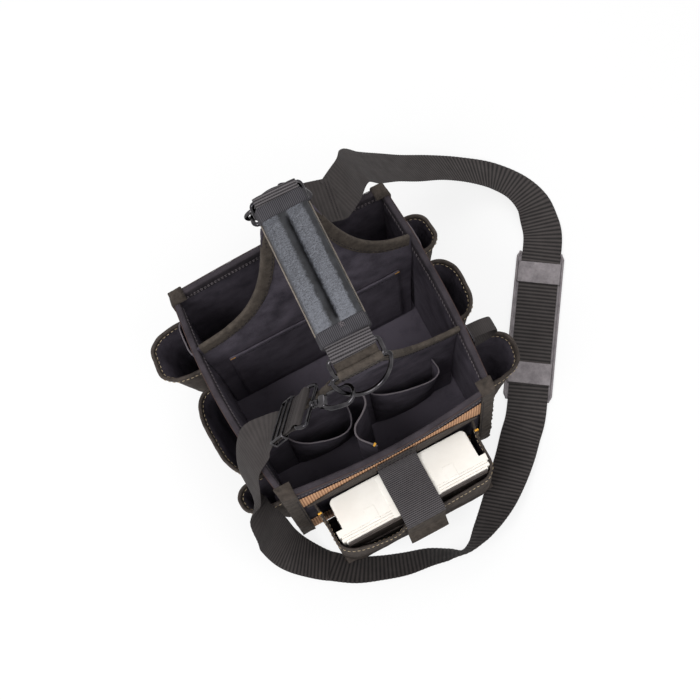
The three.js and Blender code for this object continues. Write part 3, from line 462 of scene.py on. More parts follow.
    def ribbon(self, band: "Band") -> None:
        """Adds flat webbing with woven ribs across it.

        Args:
            band: Course and weave of the webbing.
        """
        path, across, width = respaced(band.path, band.pitch / 4, band.across, band.widths())
        direction = tangents(path)
        side = unit(across - direction * np.sum(across * direction, axis=1, keepdims=True))
        up = np.cross(direction, side)
        at = lengths(path)
        share = np.linspace(-1, 1, band.columns)
        edge = 1 - band.edge_thin * np.abs(share) ** band.edge_power
        turn = 2 * math.pi * at / band.pitch
        wave, slip = (1 - np.cos(turn)) / 2, (1 + np.cos(turn)) / 2
        odd = np.where(np.arange(band.columns) % 2 == 0, 0.0, band.float_share)
        lift = band.rib * (wave[:, None] * (1 - odd) + slip[:, None] * odd)
        half = band.thickness / 2 * edge[None, :] - lift
        middle = path[:, None] + side[:, None] * (share[None, :, None] * width[:, None, None] / 2)
        top = middle + up[:, None] * half[..., None]
        under = middle - up[:, None] * half[..., None]
        flat = share * np.max(width) / 2
        places = np.stack(np.meshgrid(np.concatenate([flat, flat[::-1]]), at * RIB / band.pitch), -1)
        self.loft(np.concatenate([top, under[:, ::-1]], 1), places=places)

    def stitches(self, seam: "Seam") -> None:
        """Adds a row of short threads.

        Args:
            seam: Course and size of the row.
        """
        step = seam.dash + seam.space
        path, normal = respaced(seam.path, step / 4, seam.normal)
        at = lengths(path)
        count = int(at[-1] // step)
        if count < 1:
            return
        share = np.linspace(-1, 1, seam.steps)
        swell = np.sqrt(np.clip(1 - share**2, seam.tip, 1))
        for k in range(count):
            places = (k + 0.5) * step + share * seam.dash / 2
            line = np.stack([np.interp(places, at, column) for column in path.T], 1)
            out = unit(np.stack([np.interp(places, at, column) for column in normal.T], 1))
            side = np.cross(tangents(line), out)
            rise = out * (seam.radius * (seam.sink + seam.arch * swell))[:, None]
            thread = circle(side, out, seam.sides) * (seam.radius * swell)[:, None, None]
            self.loft((line + rise)[:, None] + thread)

    def block(self, place: Frame, low: Point, high: Point, soft: float = 0.6, mark: int = 0) -> None:
        """Adds a block whose edges are rounded off.

        Args:
            place: Frame of the block.
            low: Lowest corner in that frame.
            high: Highest corner in that frame.
            soft: How far the edges are cut back.
            mark: Which of the piece's finishes it has.
        """
        (x0, y0, z0), (x1, y1, z1) = low, high
        rings = []
        for z, cut in ((z0, soft), (z0 + soft, 0.0), (z1 - soft, 0.0), (z1, soft)):
            outline = rounded_outline((x0 + cut, y0 + cut), (x1 - cut, y1 - cut), soft * BLOCK_CORNER)
            rings.append([place.at(x, y, z) for x, y in outline])
        self.loft(np.array(rings), mark=mark)

    def object(self, name: str, finishes: Sequence["Finish"], sharp: float = 40.0) -> bpy.types.Object:
        """Makes the Blender object.

        Args:
            name: Name of the piece.
            finishes: Its finishes, in the order of their marks.
            sharp: Angle in degrees above which an edge stays crisp.

        Returns:
            The object, in metres.
        """
        mesh = bpy.data.meshes.new(name)
        mesh.from_pydata((np.concatenate(self.points) * MM).tolist(), [], self.faces)
        places = np.concatenate(self.places) * MM
        layer = mesh.uv_layers.new(name="cloth")
        corners = np.zeros(len(mesh.loops), int)
        mesh.loops.foreach_get("vertex_index", corners)
        layer.data.foreach_set("uv", places[corners].ravel())
        mesh.polygons.foreach_set("material_index", self.marks)
        mesh.shade_smooth()
        mesh.set_sharp_from_angle(angle=math.radians(sharp))
        for finish in finishes:
            mesh.materials.append(finish.material())
        mesh.validate()
        solid = bmesh.new()
        solid.from_mesh(mesh)
        bmesh.ops.recalc_face_normals(solid, faces=solid.faces)
        solid.to_mesh(mesh)
        solid.free()
        made = bpy.data.objects.new(name, mesh)
        bpy.context.scene.collection.objects.link(made)
        return made


@dataclass(frozen=True)
class Band:
    """Course and weave of a length of webbing.

    The ribs lie a pitch apart and are cut in by rib. Edge_thin and edge_power thin its two edges,
    and float_share is how much of a rib every second column shifts by half a pitch.
    """

    path: np.ndarray
    across: np.ndarray
    width: float | np.ndarray = WEBBING
    thickness: float = STRAP_THICKNESS
    pitch: float = 2.7
    rib: float = 0.28
    columns: int = 13
    edge_thin: float = 0.45
    edge_power: float = 8.0
    float_share: float = 0.25

    def widths(self) -> np.ndarray:
        """Gives the width at each point of the course."""
        return np.broadcast_to(np.asarray(self.width, float), len(self.path)).copy()


@dataclass(frozen=True)
class Seam:
    """Course and size of a row of stitches, each of which arches out of the cloth."""

    path: np.ndarray
    normal: np.ndarray
    dash: float = 3.6
    space: float = 1.8
    radius: float = 0.5
    sink: float = 0.25
    arch: float = 0.5
    tip: float = 0.12
    steps: int = 5
    sides: int = 6


def circle(first: np.ndarray, second: np.ndarray, sides: int) -> np.ndarray:
    """Draws a circle of radius one at each point of a path.

    Args:
        first: First direction of the circle's plane at each point.
        second: Second direction of that plane at each point.
        sides: Corners round it.

    Returns:
        Offsets from the path, by point and corner.
    """
    angles = np.linspace(0, 2 * math.pi, sides, endpoint=False)
    cos, sin = np.cos(angles)[None, :, None], np.sin(angles)[None, :, None]
    return cos * first[:, None] + sin * second[:, None]


def rounded_outline(low: Pair, high: Pair, radius: float) -> list[Pair]:
    """Draws a rectangle with rounded corners.

    Args:
        low: Its lowest corner.
        high: Its highest corner.
        radius: Radius of its corners.

    Returns:
        Its points, turning left.
    """
    radius = min(radius, (high[0] - low[0]) * HALF_AT_MOST, (high[1] - low[1]) * HALF_AT_MOST)
    centres = [
        (high[0] - radius, high[1] - radius),
        (low[0] + radius, high[1] - radius),
        (low[0] + radius, low[1] + radius),
        (high[0] - radius, low[1] + radius),
    ]
    made = []
    for quarter, (x, y) in enumerate(centres):
        for turn in np.linspace(0, math.pi / 2, 4):
            angle = quarter * math.pi / 2 + turn
            made.append((x + math.cos(angle) * radius, y + math.sin(angle) * radius))
    return made


class Value:
    """An output of a node tree that takes part in arithmetic."""

    def __init__(self, graph: "Graph", socket: bpy.types.NodeSocket) -> None:
        """Wraps an output of a tree."""
        self.graph = graph
        self.socket = socket

    def _math(self, operation: str, *sides: "Value | float") -> "Value":
        """Adds one arithmetic node."""
        made = self.graph.node("ShaderNodeMath", {"operation": operation}, dict(enumerate(sides)))
        return Value(self.graph, made.outputs[0])

    def __add__(self, other: "Value | float") -> "Value":
        """Adds."""
        return self._math("ADD", self, other)

    def __radd__(self, other: float) -> "Value":
        """Adds to a number."""
        return self._math("ADD", other, self)

    def __sub__(self, other: "Value | float") -> "Value":
        """Subtracts."""
        return self._math("SUBTRACT", self, other)

    def __rsub__(self, other: float) -> "Value":
        """Subtracts from a number."""
        return self._math("SUBTRACT", other, self)

    def __mul__(self, other: "Value | float") -> "Value":
        """Multiplies."""
        return self._math("MULTIPLY", self, other)

    def __rmul__(self, other: float) -> "Value":
        """Multiplies a number."""
        return self._math("MULTIPLY", other, self)

    def __abs__(self) -> "Value":
        """Drops the sign."""
        return self._math("ABSOLUTE", self)

    def wave(self) -> "Value":
        """Takes the sine of a value in radians."""
        return self._math("SINE", self)

    def even(self, start: float = 0.0, end: float = 1.0) -> "Value":
        """Spreads noise, which mostly keeps to the middle, over a whole range."""
        return self.between(NOISE_LOW, NOISE_HIGH, start, end)

    def between(self, low: float, high: float, start: float = 0.0, end: float = 1.0) -> "Value":
        """Maps a range to another and holds it there.

        Args:
            low: Start of the first range.
            high: End of the first range.
            start: Value at its start.
            end: Value at its end.

        Returns:
            The mapped value.
        """
        inputs = dict(enumerate((self, low, high, start, end)))
        made = self.graph.node("ShaderNodeMapRange", {"clamp": True}, inputs)
        return Value(self.graph, made.outputs[0])


class Graph:
    """Node tree of a material or of the surroundings."""

    def __init__(self, owner: bpy.types.Material | bpy.types.World, kind: str = "BSDF_PRINCIPLED") -> None:
        """Opens the tree of a new material or world.

        Args:
            owner: The material or world.
            kind: Type of the node that it starts with.
        """
        owner.use_nodes = True
        self.owner = owner
        self.tree = owner.node_tree
        self.surface = self.first(kind)

    def first(self, kind: str) -> bpy.types.Node:
        """Finds the node of a type that the tree started with."""
        return next(node for node in self.tree.nodes if node.type == kind)

    def node(
        self,
        kind: str,
        settings: dict[str, object],
        inputs: dict[int | str, object],
    ) -> bpy.types.Node:
        """Adds any node.

        Args:
            kind: Its type.
            settings: Its properties by name.
            inputs: Values or outputs for its inputs, by name or number.

        Returns:
            The node.
        """
        made = self.tree.nodes.new(kind)
        for name, value in settings.items():
            setattr(made, name, value)
        for name, value in inputs.items():
            self.feed(made.inputs[name], value)
        return made

    def feed(self, socket: bpy.types.NodeSocket, value: object) -> None:
        """Sets or links an input.

        Args:
            socket: The input.
            value: A plain value, an output, or a wrapped output.
        """
        if isinstance(value, Value):
            value = value.socket
        if isinstance(value, bpy.types.NodeSocket):
            self.tree.links.new(value, socket)
        else:
            socket.default_value = value

    def noise(
        self,
        size: float,
        detail: float = 4.0,
        rough: float = 0.55,
        stretch: Point = (1, 1, 1),
    ) -> Value:
        """Adds noise.

        Args:
            size: Size of its features in millimetres.
            detail: How many finer layers it has.
            rough: Strength of the finer layers.
            stretch: How much longer the features are along each axis.

        Returns:
            Noise between 0 and 1.
        """
        places = self.node("ShaderNodeTexCoord", {}, {}).outputs["Object"]
        scale = [1 / value for value in stretch]
        spread = self.node("ShaderNodeMapping", {}, {"Vector": places, "Scale": scale})
        made = self.node("ShaderNodeTexNoise", {}, {
            "Vector": spread.outputs[0], "Scale": 1 / (size * MM), "Detail": detail, "Roughness": rough,
        })
        return Value(self, made.outputs[0])

    def cells(self, size: float) -> Value:
        """Adds a cell pattern.

        Args:
            size: Size of the cells in millimetres.

        Returns:
            The distance to the edges of the cells, about 0 to 1.
        """
        places = self.node("ShaderNodeTexCoord", {}, {}).outputs["Object"]
        made = self.node("ShaderNodeTexVoronoi", {"feature": "DISTANCE_TO_EDGE"}, {
            "Vector": places, "Scale": 1 / (size * MM),
        })
        return Value(self, made.outputs["Distance"])

    def cloth(self) -> tuple[Value, Value]:
        """Gives the two directions of a cloth.

        Returns:
            Place across and along the cloth, in millimetres.
        """
        found = self.node("ShaderNodeUVMap", {"uv_map": "cloth"}, {})
        parts = self.node("ShaderNodeSeparateXYZ", {}, {0: found.outputs[0]})
        return Value(self, parts.outputs[0]) * METRE, Value(self, parts.outputs[1]) * METRE

    def height(self) -> Value:
        """Gives the height over the floor, in millimetres."""
        places = self.node("ShaderNodeTexCoord", {}, {}).outputs["Object"]
        return Value(self, self.node("ShaderNodeSeparateXYZ", {}, {0: places}).outputs[2]) * METRE

    def seen_directly(self) -> Value:
        """Tells which rays see the white surroundings.

        Returns:
            1 for rays of the camera, of mirrors and of glass.
        """
        rays = self.node("ShaderNodeLightPath", {}, {}).outputs
        seen = Value(self, rays["Is Camera Ray"]) + Value(self, rays["Is Glossy Ray"])
        return seen + Value(self, rays["Is Transmission Ray"])

    def blend(self, factor: Value, first: object, second: object) -> bpy.types.NodeSocket:
        """Blends two colours."""
        made = self.node("ShaderNodeMix", {"data_type": "RGBA"}, {0: factor, 6: first, 7: second})
        return made.outputs[2]

    def relief(self, height: Value, depth: float) -> None:
        """Raises the surface by a height pattern."""
        made = self.node("ShaderNodeBump", {}, {"Height": height, "Distance": depth * MM})
        self.feed(self.surface.inputs["Normal"], made.outputs[0])


class Weave(Enum):
    """Kinds of surface that a finish may have."""

    PLAIN = "plain weave"
    RIBBED = "ribbed webbing"
    NAPPED = "napped hide"
    CHECKED = "checked webbing"
    GRAINED = "grained sheet"
    WRINKLED = "wrinkled vinyl"
    METAL = "polished wire"
    MOULDED = "moulded plastic"
    THREAD = "thread"


def linear(colour: Sequence[float]) -> tuple[float, float, float, float]:
    """Turns a screen colour, from 0 to 255, into a linear one with full alpha."""
    return (*Color([part / 255 for part in colour]).from_srgb_to_scene_linear(), 1.0)


@dataclass(frozen=True)
class Ground:
    """A tree with the two noises that every kind of surface starts from."""

    graph: Graph
    blotch: Value
    fine: Value


@dataclass(frozen=True)
class Finish:
    """One finish: its colours, its gloss and the scale of its detail.

    Pitch is the size of its finest pattern, depth its relief and blotch the size of its broad
    marks, all in millimetres. Calm is how far the ribs of webbing fade with height, and how much
    painted fill light lightens plain cloth towards the foot; wear is how much its roughness varies.
    """

    name: str
    slot: str
    weave: Weave
    dark: Point
    light: Point
    rough: float = 0.85
    pitch: float = 1.1
    depth: float = 0.12
    blotch: float = 22.0
    gloss: float = 0.2
    metallic: float = 0.0
    calm: float = 0.0
    wear: float = 0.07

    @property
    def turn(self) -> float:
        """Angle that its finest pattern turns through in a millimetre."""
        return 2 * math.pi / self.pitch

    def material(self) -> bpy.types.Material:
        """Gives the material, made on its first use."""
        return bpy.data.materials.get(self.name) or self.made()

    def made(self) -> bpy.types.Material:
        """Builds the node tree.

        Returns:
            The new material.
        """
        graph = Graph(bpy.data.materials.new(self.name))
        surface = graph.surface.inputs
        height, tone = self.pattern(graph)
        colour = graph.blend(tone.between(0, 1), linear(self.dark), linear(self.light))
        graph.feed(surface["Base Color"], colour)
        wear = graph.noise(self.blotch * 0.7, 3)
        rough = wear.even(self.rough - self.wear, min(1.0, self.rough + self.wear))
        graph.feed(surface["Roughness"], rough)
        surface["Metallic"].default_value = self.metallic
        surface["Specular IOR Level"].default_value = self.gloss
        graph.relief(height, self.depth)
        return graph.owner

    def pattern(self, graph: Graph) -> tuple[Value, Value]:
        """Builds the relief and the tone of this kind of surface.

        Args:
            graph: Tree that they are added to.

        Returns:
            Height from 0 to 1, and share of the light colour.
        """
        ground = Ground(graph, graph.noise(self.blotch, 5), graph.noise(self.pitch, 3))
        makers = {
            Weave.PLAIN: self.plain, Weave.RIBBED: self.ribbed, Weave.CHECKED: self.checked,
            Weave.NAPPED: self.napped, Weave.GRAINED: self.grained, Weave.WRINKLED: self.wrinkled,
        }
        if self.weave in makers:
            return makers[self.weave](ground)
        if self.weave is Weave.THREAD:
            return ground.fine, ground.blotch * 0.4 + ground.fine * 0.6
        return ground.fine, ground.blotch.between(0.35, 0.65)

    def plain(self, ground: Ground) -> tuple[Value, Value]:
        """Builds a plain weave, which painted fill light may lighten towards the foot.

        Args:
            ground: What it starts from.

        Returns:
            Its height and tone.
        """
        across, along = ground.graph.cloth()
        yarns = (across * self.turn).wave() * (along * self.turn).wave()
        # painted fill light: calm lightens the cloth towards the foot, where the inside of the carrier lies
        # in shade
        low = ground.graph.height().between(20, 260, self.calm, 0.0)
        tone = ground.blotch.even() * 0.6 + yarns * 0.12 + ground.fine * 0.4 + low - 0.05
        return yarns * 0.35 + ground.fine * 0.5 + 0.25, tone

    def ribbed(self, ground: Ground) -> tuple[Value, Value]:
        """Builds webbing with ribs across it, which may fade with height.

        Args:
            ground: What it starts from.

        Returns:
            Its height and tone.
        """
        across, along = ground.graph.cloth()
        rib = 0.5 + 0.5 * (along * (2 * math.pi / RIB) + math.pi / 2).wave()
        yarns = (across * self.turn).wave() * 0.5 + 0.5
        lines = rib * 0.75 + rib * yarns * 0.25 - 0.5
        lines = lines * ground.graph.height().between(30, 150, 1.0, 1.0 - self.calm)
        tone = lines + ground.blotch.even() * 0.2 + ground.fine * 0.2 + 0.3
        return rib * 0.5 + yarns * 0.3 + ground.fine * 0.2, tone

    def checked(self, ground: Ground) -> tuple[Value, Value]:
        """Builds webbing with floats that change places at every rib.

        Args:
            ground: What it starts from.

        Returns:
            Its height and tone.
        """
        across, along = ground.graph.cloth()
        rib = 0.5 + 0.5 * (along * (2 * math.pi / RIB) + math.pi / 2).wave()
        floats = (across * self.turn).wave() * (along * (math.pi / RIB)).wave()
        tone = rib * (0.5 + 0.5 * floats.between(-0.5, 0.5)) + ground.fine * 0.3 - 0.1
        return rib * 0.6 + floats * 0.2 + 0.2, tone

    def napped(self, ground: Ground) -> tuple[Value, Value]:
        """Builds the nap and the scuffs of worn hide.

        Args:
            ground: What it starts from.

        Returns:
            Its height and tone.
        """
        nap = ground.graph.noise(self.pitch * 2.4, 6, 0.7)
        scuff = ground.graph.noise(self.blotch * 0.45, 6, 0.65)
        tone = ground.blotch * 0.5 + scuff * 0.7 + nap * 0.3
        return ground.fine * 0.2 + nap * 0.3 + scuff * 0.5, tone.between(0.45, 1.05)

    def grained(self, ground: Ground) -> tuple[Value, Value]:
        """Builds the pores of a grained sheet.

        Args:
            ground: What it starts from.

        Returns:
            Its height and tone.
        """
        pores = ground.graph.cells(self.pitch).between(0.0, 0.35)
        tone = ground.blotch.even() * 0.5 + ground.graph.noise(self.pitch * 2, 4, 0.6) * 0.7
        return pores * 0.5 + ground.fine * 0.5, tone.between(0.1, 1.0)

    def wrinkled(self, ground: Ground) -> tuple[Value, Value]:
        """Builds wrinkled vinyl with painted highlights on its two crowns and painted shade on their sides
        and in the groove.

        Args:
            ground: What it starts from.

        Returns:
            Its height and tone.
        """
        across, along = ground.graph.cloth()
        torn = across + (ground.graph.noise(2.6, 2) - 0.5) * 6.0
        # lit_crowns marks the two crowns, which get the painted highlight; elsewhere the vinyl keeps its
        # dark colour as painted shade
        left = abs(torn + 18.0).between(7.0, 10.5, 1.0, 0.0)
        right = abs(torn - 10.7).between(7.5, 10.0, 1.0, 0.0)
        lit_crowns = left + right
        crease = ground.graph.noise(self.pitch, 5, 0.7, (2.2, 1.0, 1.0))
        speck = ground.graph.noise(self.pitch * 0.5, 3, 0.6)
        tone = (crease * 0.6 + speck * 0.7).between(0.5, 0.8) * lit_crowns
        # glare is a painted highlight, strongest at the front end of the pad and gone by 30 mm along it
        glare = along.between(-38, 30, 0.3, 0.0) * lit_crowns
        return crease * 0.7 + speck * 0.3, tone + glare + ground.blotch.even(0.0, 0.15)


FABRIC = Finish(
    "black_fabric", "fabric", Weave.PLAIN, dark=(33, 30, 36), light=(68, 64, 73),
    rough=0.9, pitch=1.3, depth=0.10, blotch=26, gloss=0.12,
)
# Lining cloth in a lighter grey than the outer fabric, partly as painted fill light for the shaded inside,
# and lightened further towards the foot (calm) as painted fill light
INSIDE = Finish(
    "inside_cloth", "fabric", Weave.PLAIN, dark=(35, 32, 38), light=(98, 92, 102),
    rough=0.9, pitch=1.3, depth=0.10, blotch=26, gloss=0.12, calm=0.6,
)
LINING = Finish(
    "black_lining", "fabric", Weave.PLAIN, dark=(22, 20, 25), light=(52, 48, 55),
    rough=0.85, pitch=1.0, depth=0.08, blotch=30, gloss=0.1,
)
BINDING_TAPE = Finish(
    "binding_tape", "binding", Weave.PLAIN, dark=(36, 33, 37), light=(72, 66, 71),
    rough=0.88, pitch=1.5, depth=0.16, blotch=24, gloss=0.15,
)
SUEDE = Finish(
    "worn_suede", "suede", Weave.NAPPED, dark=(38, 34, 32), light=(86, 78, 73),
    rough=0.95, pitch=0.9, depth=0.35, blotch=16, gloss=0.15,
)
TRIM_SUEDE = Finish(
    "trim_suede", "suede", Weave.NAPPED, dark=(38, 34, 31), light=(87, 79, 72),
    rough=0.92, pitch=0.9, depth=0.4, blotch=12, gloss=0.2,
)
CORNER_SUEDE = Finish(
    "corner_suede", "suede", Weave.NAPPED, dark=(28, 25, 23), light=(80, 72, 66),
    rough=0.92, pitch=0.9, depth=0.5, blotch=12, gloss=0.2,
)
TAN = Finish(
    "tan_ribs", "tan_webbing", Weave.RIBBED, dark=(146, 104, 76), light=(210, 165, 127),
    rough=0.85, pitch=1.4, depth=0.16, blotch=20, gloss=0.2,
)
STRAP = Finish(
    "dark_webbing", "strap_webbing", Weave.RIBBED, dark=(33, 31, 31), light=(73, 68, 67),
    rough=0.82, pitch=1.4, depth=0.16, blotch=18, gloss=0.2, calm=0.75,
)
END_TAPE = Finish(
    "end_tape", "strap_webbing", Weave.RIBBED, dark=(32, 31, 34), light=(74, 72, 76),
    rough=0.82, pitch=1.4, depth=0.16, blotch=18, gloss=0.2,
)
CHECK = Finish(
    "checked_webbing", "strap_webbing", Weave.CHECKED, dark=(24, 22, 24), light=(98, 94, 96),
    rough=0.8, pitch=2.6, depth=0.2, blotch=18, gloss=0.2,
)
# Handle vinyl: the light colour is a painted highlight on the pad's two crowns, the dark colour painted
# shade on their sides and in the groove
VINYL = Finish(
    "grey_vinyl", "vinyl", Weave.WRINKLED, dark=(20, 20, 22), light=(98, 100, 107),
    rough=0.6, pitch=1.6, depth=0.5, blotch=14, gloss=0.3,
)
PIPING = Finish(
    "pale_piping", "vinyl", Weave.GRAINED, dark=(78, 72, 67), light=(128, 118, 108),
    rough=0.5, pitch=1.2, depth=0.1, blotch=14, gloss=0.4,
)
NICKEL = Finish(
    "dark_nickel", "nickel", Weave.METAL, dark=(44, 43, 46), light=(76, 74, 76),
    rough=0.16, pitch=2.2, depth=0.02, blotch=12, gloss=0.5, metallic=1.0,
)
TRAY = Finish(
    "cream_plastic", "tray_plastic", Weave.MOULDED, dark=(238, 233, 225), light=(247, 243, 236),
    rough=0.42, pitch=1.8, depth=0.02, blotch=40,
)
# Dark finish of the lid's front panel and its raised rims, which keeps the tray's front face dark
DARK_PANEL = Finish(
    "dark_panel", "tray_plastic", Weave.MOULDED, dark=(58, 51, 48), light=(84, 76, 71),
    rough=0.4, pitch=1.8, depth=0.02, blotch=18, gloss=0.4,
)
RUBBER = Finish(
    "grey_rubber", "pad_rubber", Weave.GRAINED, dark=(96, 91, 94), light=(146, 140, 142),
    rough=0.75, pitch=1.8, depth=0.2, blotch=12, gloss=0.2,
)
CREAM_THREAD = Finish(
    "cream_thread", "binding", Weave.THREAD, dark=(150, 132, 106), light=(206, 188, 158),
    rough=0.8, pitch=0.5, depth=0.05, blotch=4,
)
GOLD_THREAD = Finish(
    "gold_thread", "binding", Weave.THREAD, dark=(206, 142, 40), light=(244, 190, 84),
    rough=0.75, pitch=0.5, depth=0.05, blotch=4,
)
DARK_THREAD = Finish(
    "dark_thread", "binding", Weave.THREAD, dark=(20, 18, 21), light=(50, 46, 50),
    rough=0.8, pitch=0.5, depth=0.05, blotch=4,
)
GREY_THREAD = Finish(
    "grey_thread", "binding", Weave.THREAD, dark=(80, 74, 78), light=(122, 115, 118),
    rough=0.8, pitch=0.5, depth=0.05, blotch=4,
)
# Reddish line along the top outer edge of the rim binding: partly the edge's own tint, partly a painted
# highlight
EDGE_TINT_AND_HIGHLIGHT = Finish(
    "russet_edge_and_highlight", "binding", Weave.THREAD, dark=(58, 47, 46), light=(82, 65, 61),
    rough=0.85, pitch=0.7, depth=0.05, blotch=9,
)




class Side(Enum):
    """Walls of the carrier, by the direction that they face."""

    FRONT = "front"
    REAR = "rear"
    LEFT = "left"
    RIGHT = "right"

    @property
    def sign(self) -> int:
        """Direction of the wall along its axis."""
        return -1 if self in (Side.FRONT, Side.LEFT) else 1

    @property
    def lengthwise(self) -> bool:
        """Tells whether the wall runs across the carrier."""
        return self in (Side.FRONT, Side.REAR)

    @property
    def outward(self) -> np.ndarray:
        """Direction that the wall faces."""
        return (Y_AXIS if self.lengthwise else X_AXIS) * self.sign


def half_width(y: float | np.ndarray) -> float | np.ndarray:
    """Gives half the outer width of the body."""
    return BODY_WIDTH / 2 + BODY_TAPER / 2 * (y / (BODY_DEPTH / 2))


def wall_at(side: Side, along: np.ndarray, z: np.ndarray, out: float | np.ndarray) -> np.ndarray:
    """Finds points on or beside a wall.

    Args:
        side: The wall.
        along: Place along the wall.
        z: Height.
        out: Distance out from its outer face.

    Returns:
        The points.
    """
    along, z, out = spread(along, z, out)
    rise = np.maximum(z / BODY_HEIGHT, 0) ** BELLY_POWER
    half = half_width(side.sign * BODY_DEPTH / 2) if side.lengthwise else BODY_DEPTH / 2
    belly = BELLY[side.value] * np.cos(math.pi / 2 * along / half) * rise
    if side.lengthwise:
        return np.stack([along, side.sign * (BODY_DEPTH / 2 + out + belly), z], -1)
    return np.stack([side.sign * (half_width(along) + out + belly), along, z], -1)


def wall_reach(side: Side) -> float:
    """Gives how far a wall runs from its middle.

    Args:
        side: The wall.

    Returns:
        Half of its length.
    """
    if side.lengthwise:
        return half_width(side.sign * BODY_DEPTH / 2)
    return BODY_DEPTH / 2 - WALL - BINDING - 2 * GAP


@dataclass(frozen=True)
class Divider:
    """Place and lean of one arched divider.

    The sign is -1 for the front and 1 for the rear. The lean is how far its top stands off its
    foot, tab_x the middle of its ring tab, d_tilt the drop of its D ring in degrees and handle_y
    the place of the bar that the handle turns round.
    """

    name: str
    sign: int
    y: float
    lean: float
    tab_x: float
    d_tilt: float
    handle_y: float

    def at(self, x: float | np.ndarray, z: float | np.ndarray, out: float | np.ndarray = 0.0) -> np.ndarray:
        """Finds points on or beside the sheet.

        Args:
            x: Place across.
            z: Height.
            out: Distance from its middle, away from the other divider.

        Returns:
            The points.
        """
        x, z, out = spread(x, z, out)
        share = np.maximum(z - LEAN_START, 0) / (SWOOP_TOP - LEAN_START)
        return np.stack([x, self.y + self.lean * share**LEAN_POWER + self.sign * out, z], -1)

    def limit(self, sign: int) -> float:
        """Gives the place across where the binding of the left (-1) or right (1) wall stops the sheet."""
        side = Side.LEFT if sign < 0 else Side.RIGHT
        return wall_at(side, self.y, BODY_HEIGHT, -WALL - BINDING - 2 * GAP)[0]

    def edge(self, sign: int, z: np.ndarray) -> np.ndarray:
        """Finds where the sheet ends at one side.

        Args:
            sign: -1 for the left and 1 for the right.
            z: Heights.

        Returns:
            The place across at each height.
        """
        limit = self.limit(sign)
        z = np.asarray(z, float)
        spread = SWOOP_SPREAD * np.log((SWOOP_TOP - BODY_HEIGHT) / np.maximum(z - BODY_HEIGHT, 1e-3))
        arch = self.tab_x + sign * (TAB_HALF + spread)
        belly = BELLY["left"] * math.cos(math.pi / 2 * self.y / (BODY_DEPTH / 2))
        low = limit - sign * belly * (1 - np.minimum(z / BODY_HEIGHT, 1) ** BELLY_POWER)
        high = np.maximum(limit, arch) if sign < 0 else np.minimum(limit, arch)
        return np.where(z <= BODY_HEIGHT, low, high)

    def arch_half(self, z: float) -> float:
        """Gives half the width of the arch."""
        return TAB_HALF + SWOOP_SPREAD * math.log((SWOOP_TOP - BODY_HEIGHT) / (z - BODY_HEIGHT))

    def top(self) -> Frame:
        """Gives the frame at the top of the sheet.

        Returns:
            Frame with y up along the sheet and z away from the middle of the carrier.
        """
        origin = self.at(self.tab_x, SHEET_TOP)
        up = unit(origin - self.at(self.tab_x, SHEET_TOP - 10))
        return Frame(origin, X_AXIS, up, np.cross(X_AXIS, up) * -self.sign)

    def handle_end(self) -> np.ndarray:
        """Gives the bar that the handle turns round."""
        return vec(self.tab_x, self.handle_y, HANDLE_Z)

    def d_frame(self) -> Frame:
        """Gives the frame of the D ring.

        Returns:
            Frame with its origin on the bar and y towards the round end.
        """
        tilt = math.radians(self.d_tilt)
        y = vec(0, self.sign * math.cos(tilt), -math.sin(tilt))
        return Frame(self.top().at(0, D_BAR_RISE), X_AXIS, y, np.cross(X_AXIS, y))


FRONT_DIVIDER = Divider("front", -1, y=-55.0, lean=-27.0, tab_x=4.0, d_tilt=58.0, handle_y=HANDLE_FRONT_Y)
REAR_DIVIDER = Divider("rear", 1, y=55.0, lean=55.0, tab_x=12.0, d_tilt=25.0, handle_y=HANDLE_REAR_Y)


@dataclass
class Assembly:
    """A group of pieces that ride on one body of the model."""

    body: str = "carrier"
    made: list[bpy.types.Object] = field(default_factory=list)
    tack_reach: float = 1.4
    tack_threads: int = 9

    def put(
        self,
        name: str,
        shape: Shape,
        finishes: Sequence[Finish],
        nodes: Iterable[str] = (),
        body: str = "",
        sharp: float = 40.0,
    ) -> bpy.types.Object:
        """Makes a piece and lets it ride on its body.

        Args:
            name: Name of the piece.
            shape: Its shape.
            finishes: Its finishes.
            nodes: Nodes of the model that it stands for.
            body: Body that carries it, when not this assembly's.
            sharp: Angle in degrees above which an edge stays crisp.

        Returns:
            The piece.
        """
        made = shape.object(name, finishes, sharp)
        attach(made, body or self.body)
        if nodes:
            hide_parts(*nodes)
        self.made.append(made)
        log.info("made %s", name)
        return made

    def sew(self, name: str, seams: Iterable[Seam], finish: Finish, body: str = "") -> bpy.types.Object:
        """Makes rows of stitches as one piece.

        Args:
            name: Name of the piece.
            seams: The rows.
            finish: Finish of the thread.
            body: Body that carries it, when not this assembly's.

        Returns:
            The piece.
        """
        shape = Shape()
        for seam in seams:
            shape.stitches(seam)
        return self.put(name, shape, [finish], (), body)

    def bartacks(self, name: str, places: Iterable[Sequence[np.ndarray]], size: float) -> None:
        """Makes dense bars of bright thread.

        Args:
            name: Name of the piece.
            places: Middle, direction and outward normal of each bar.
            size: Length of a bar.
        """
        seams = []
        for middle, along, normal in places:
            side = unit(np.cross(along, normal)) * self.tack_reach
            for k in np.linspace(-size / 2, size / 2, self.tack_threads):
                ends = np.array([middle + along * k - side, middle + along * k + side])
                seams.append(Seam(ends, for_each(ends, normal), dash=2.6, space=0.1, radius=0.5))
        self.sew(name, seams, GOLD_THREAD)
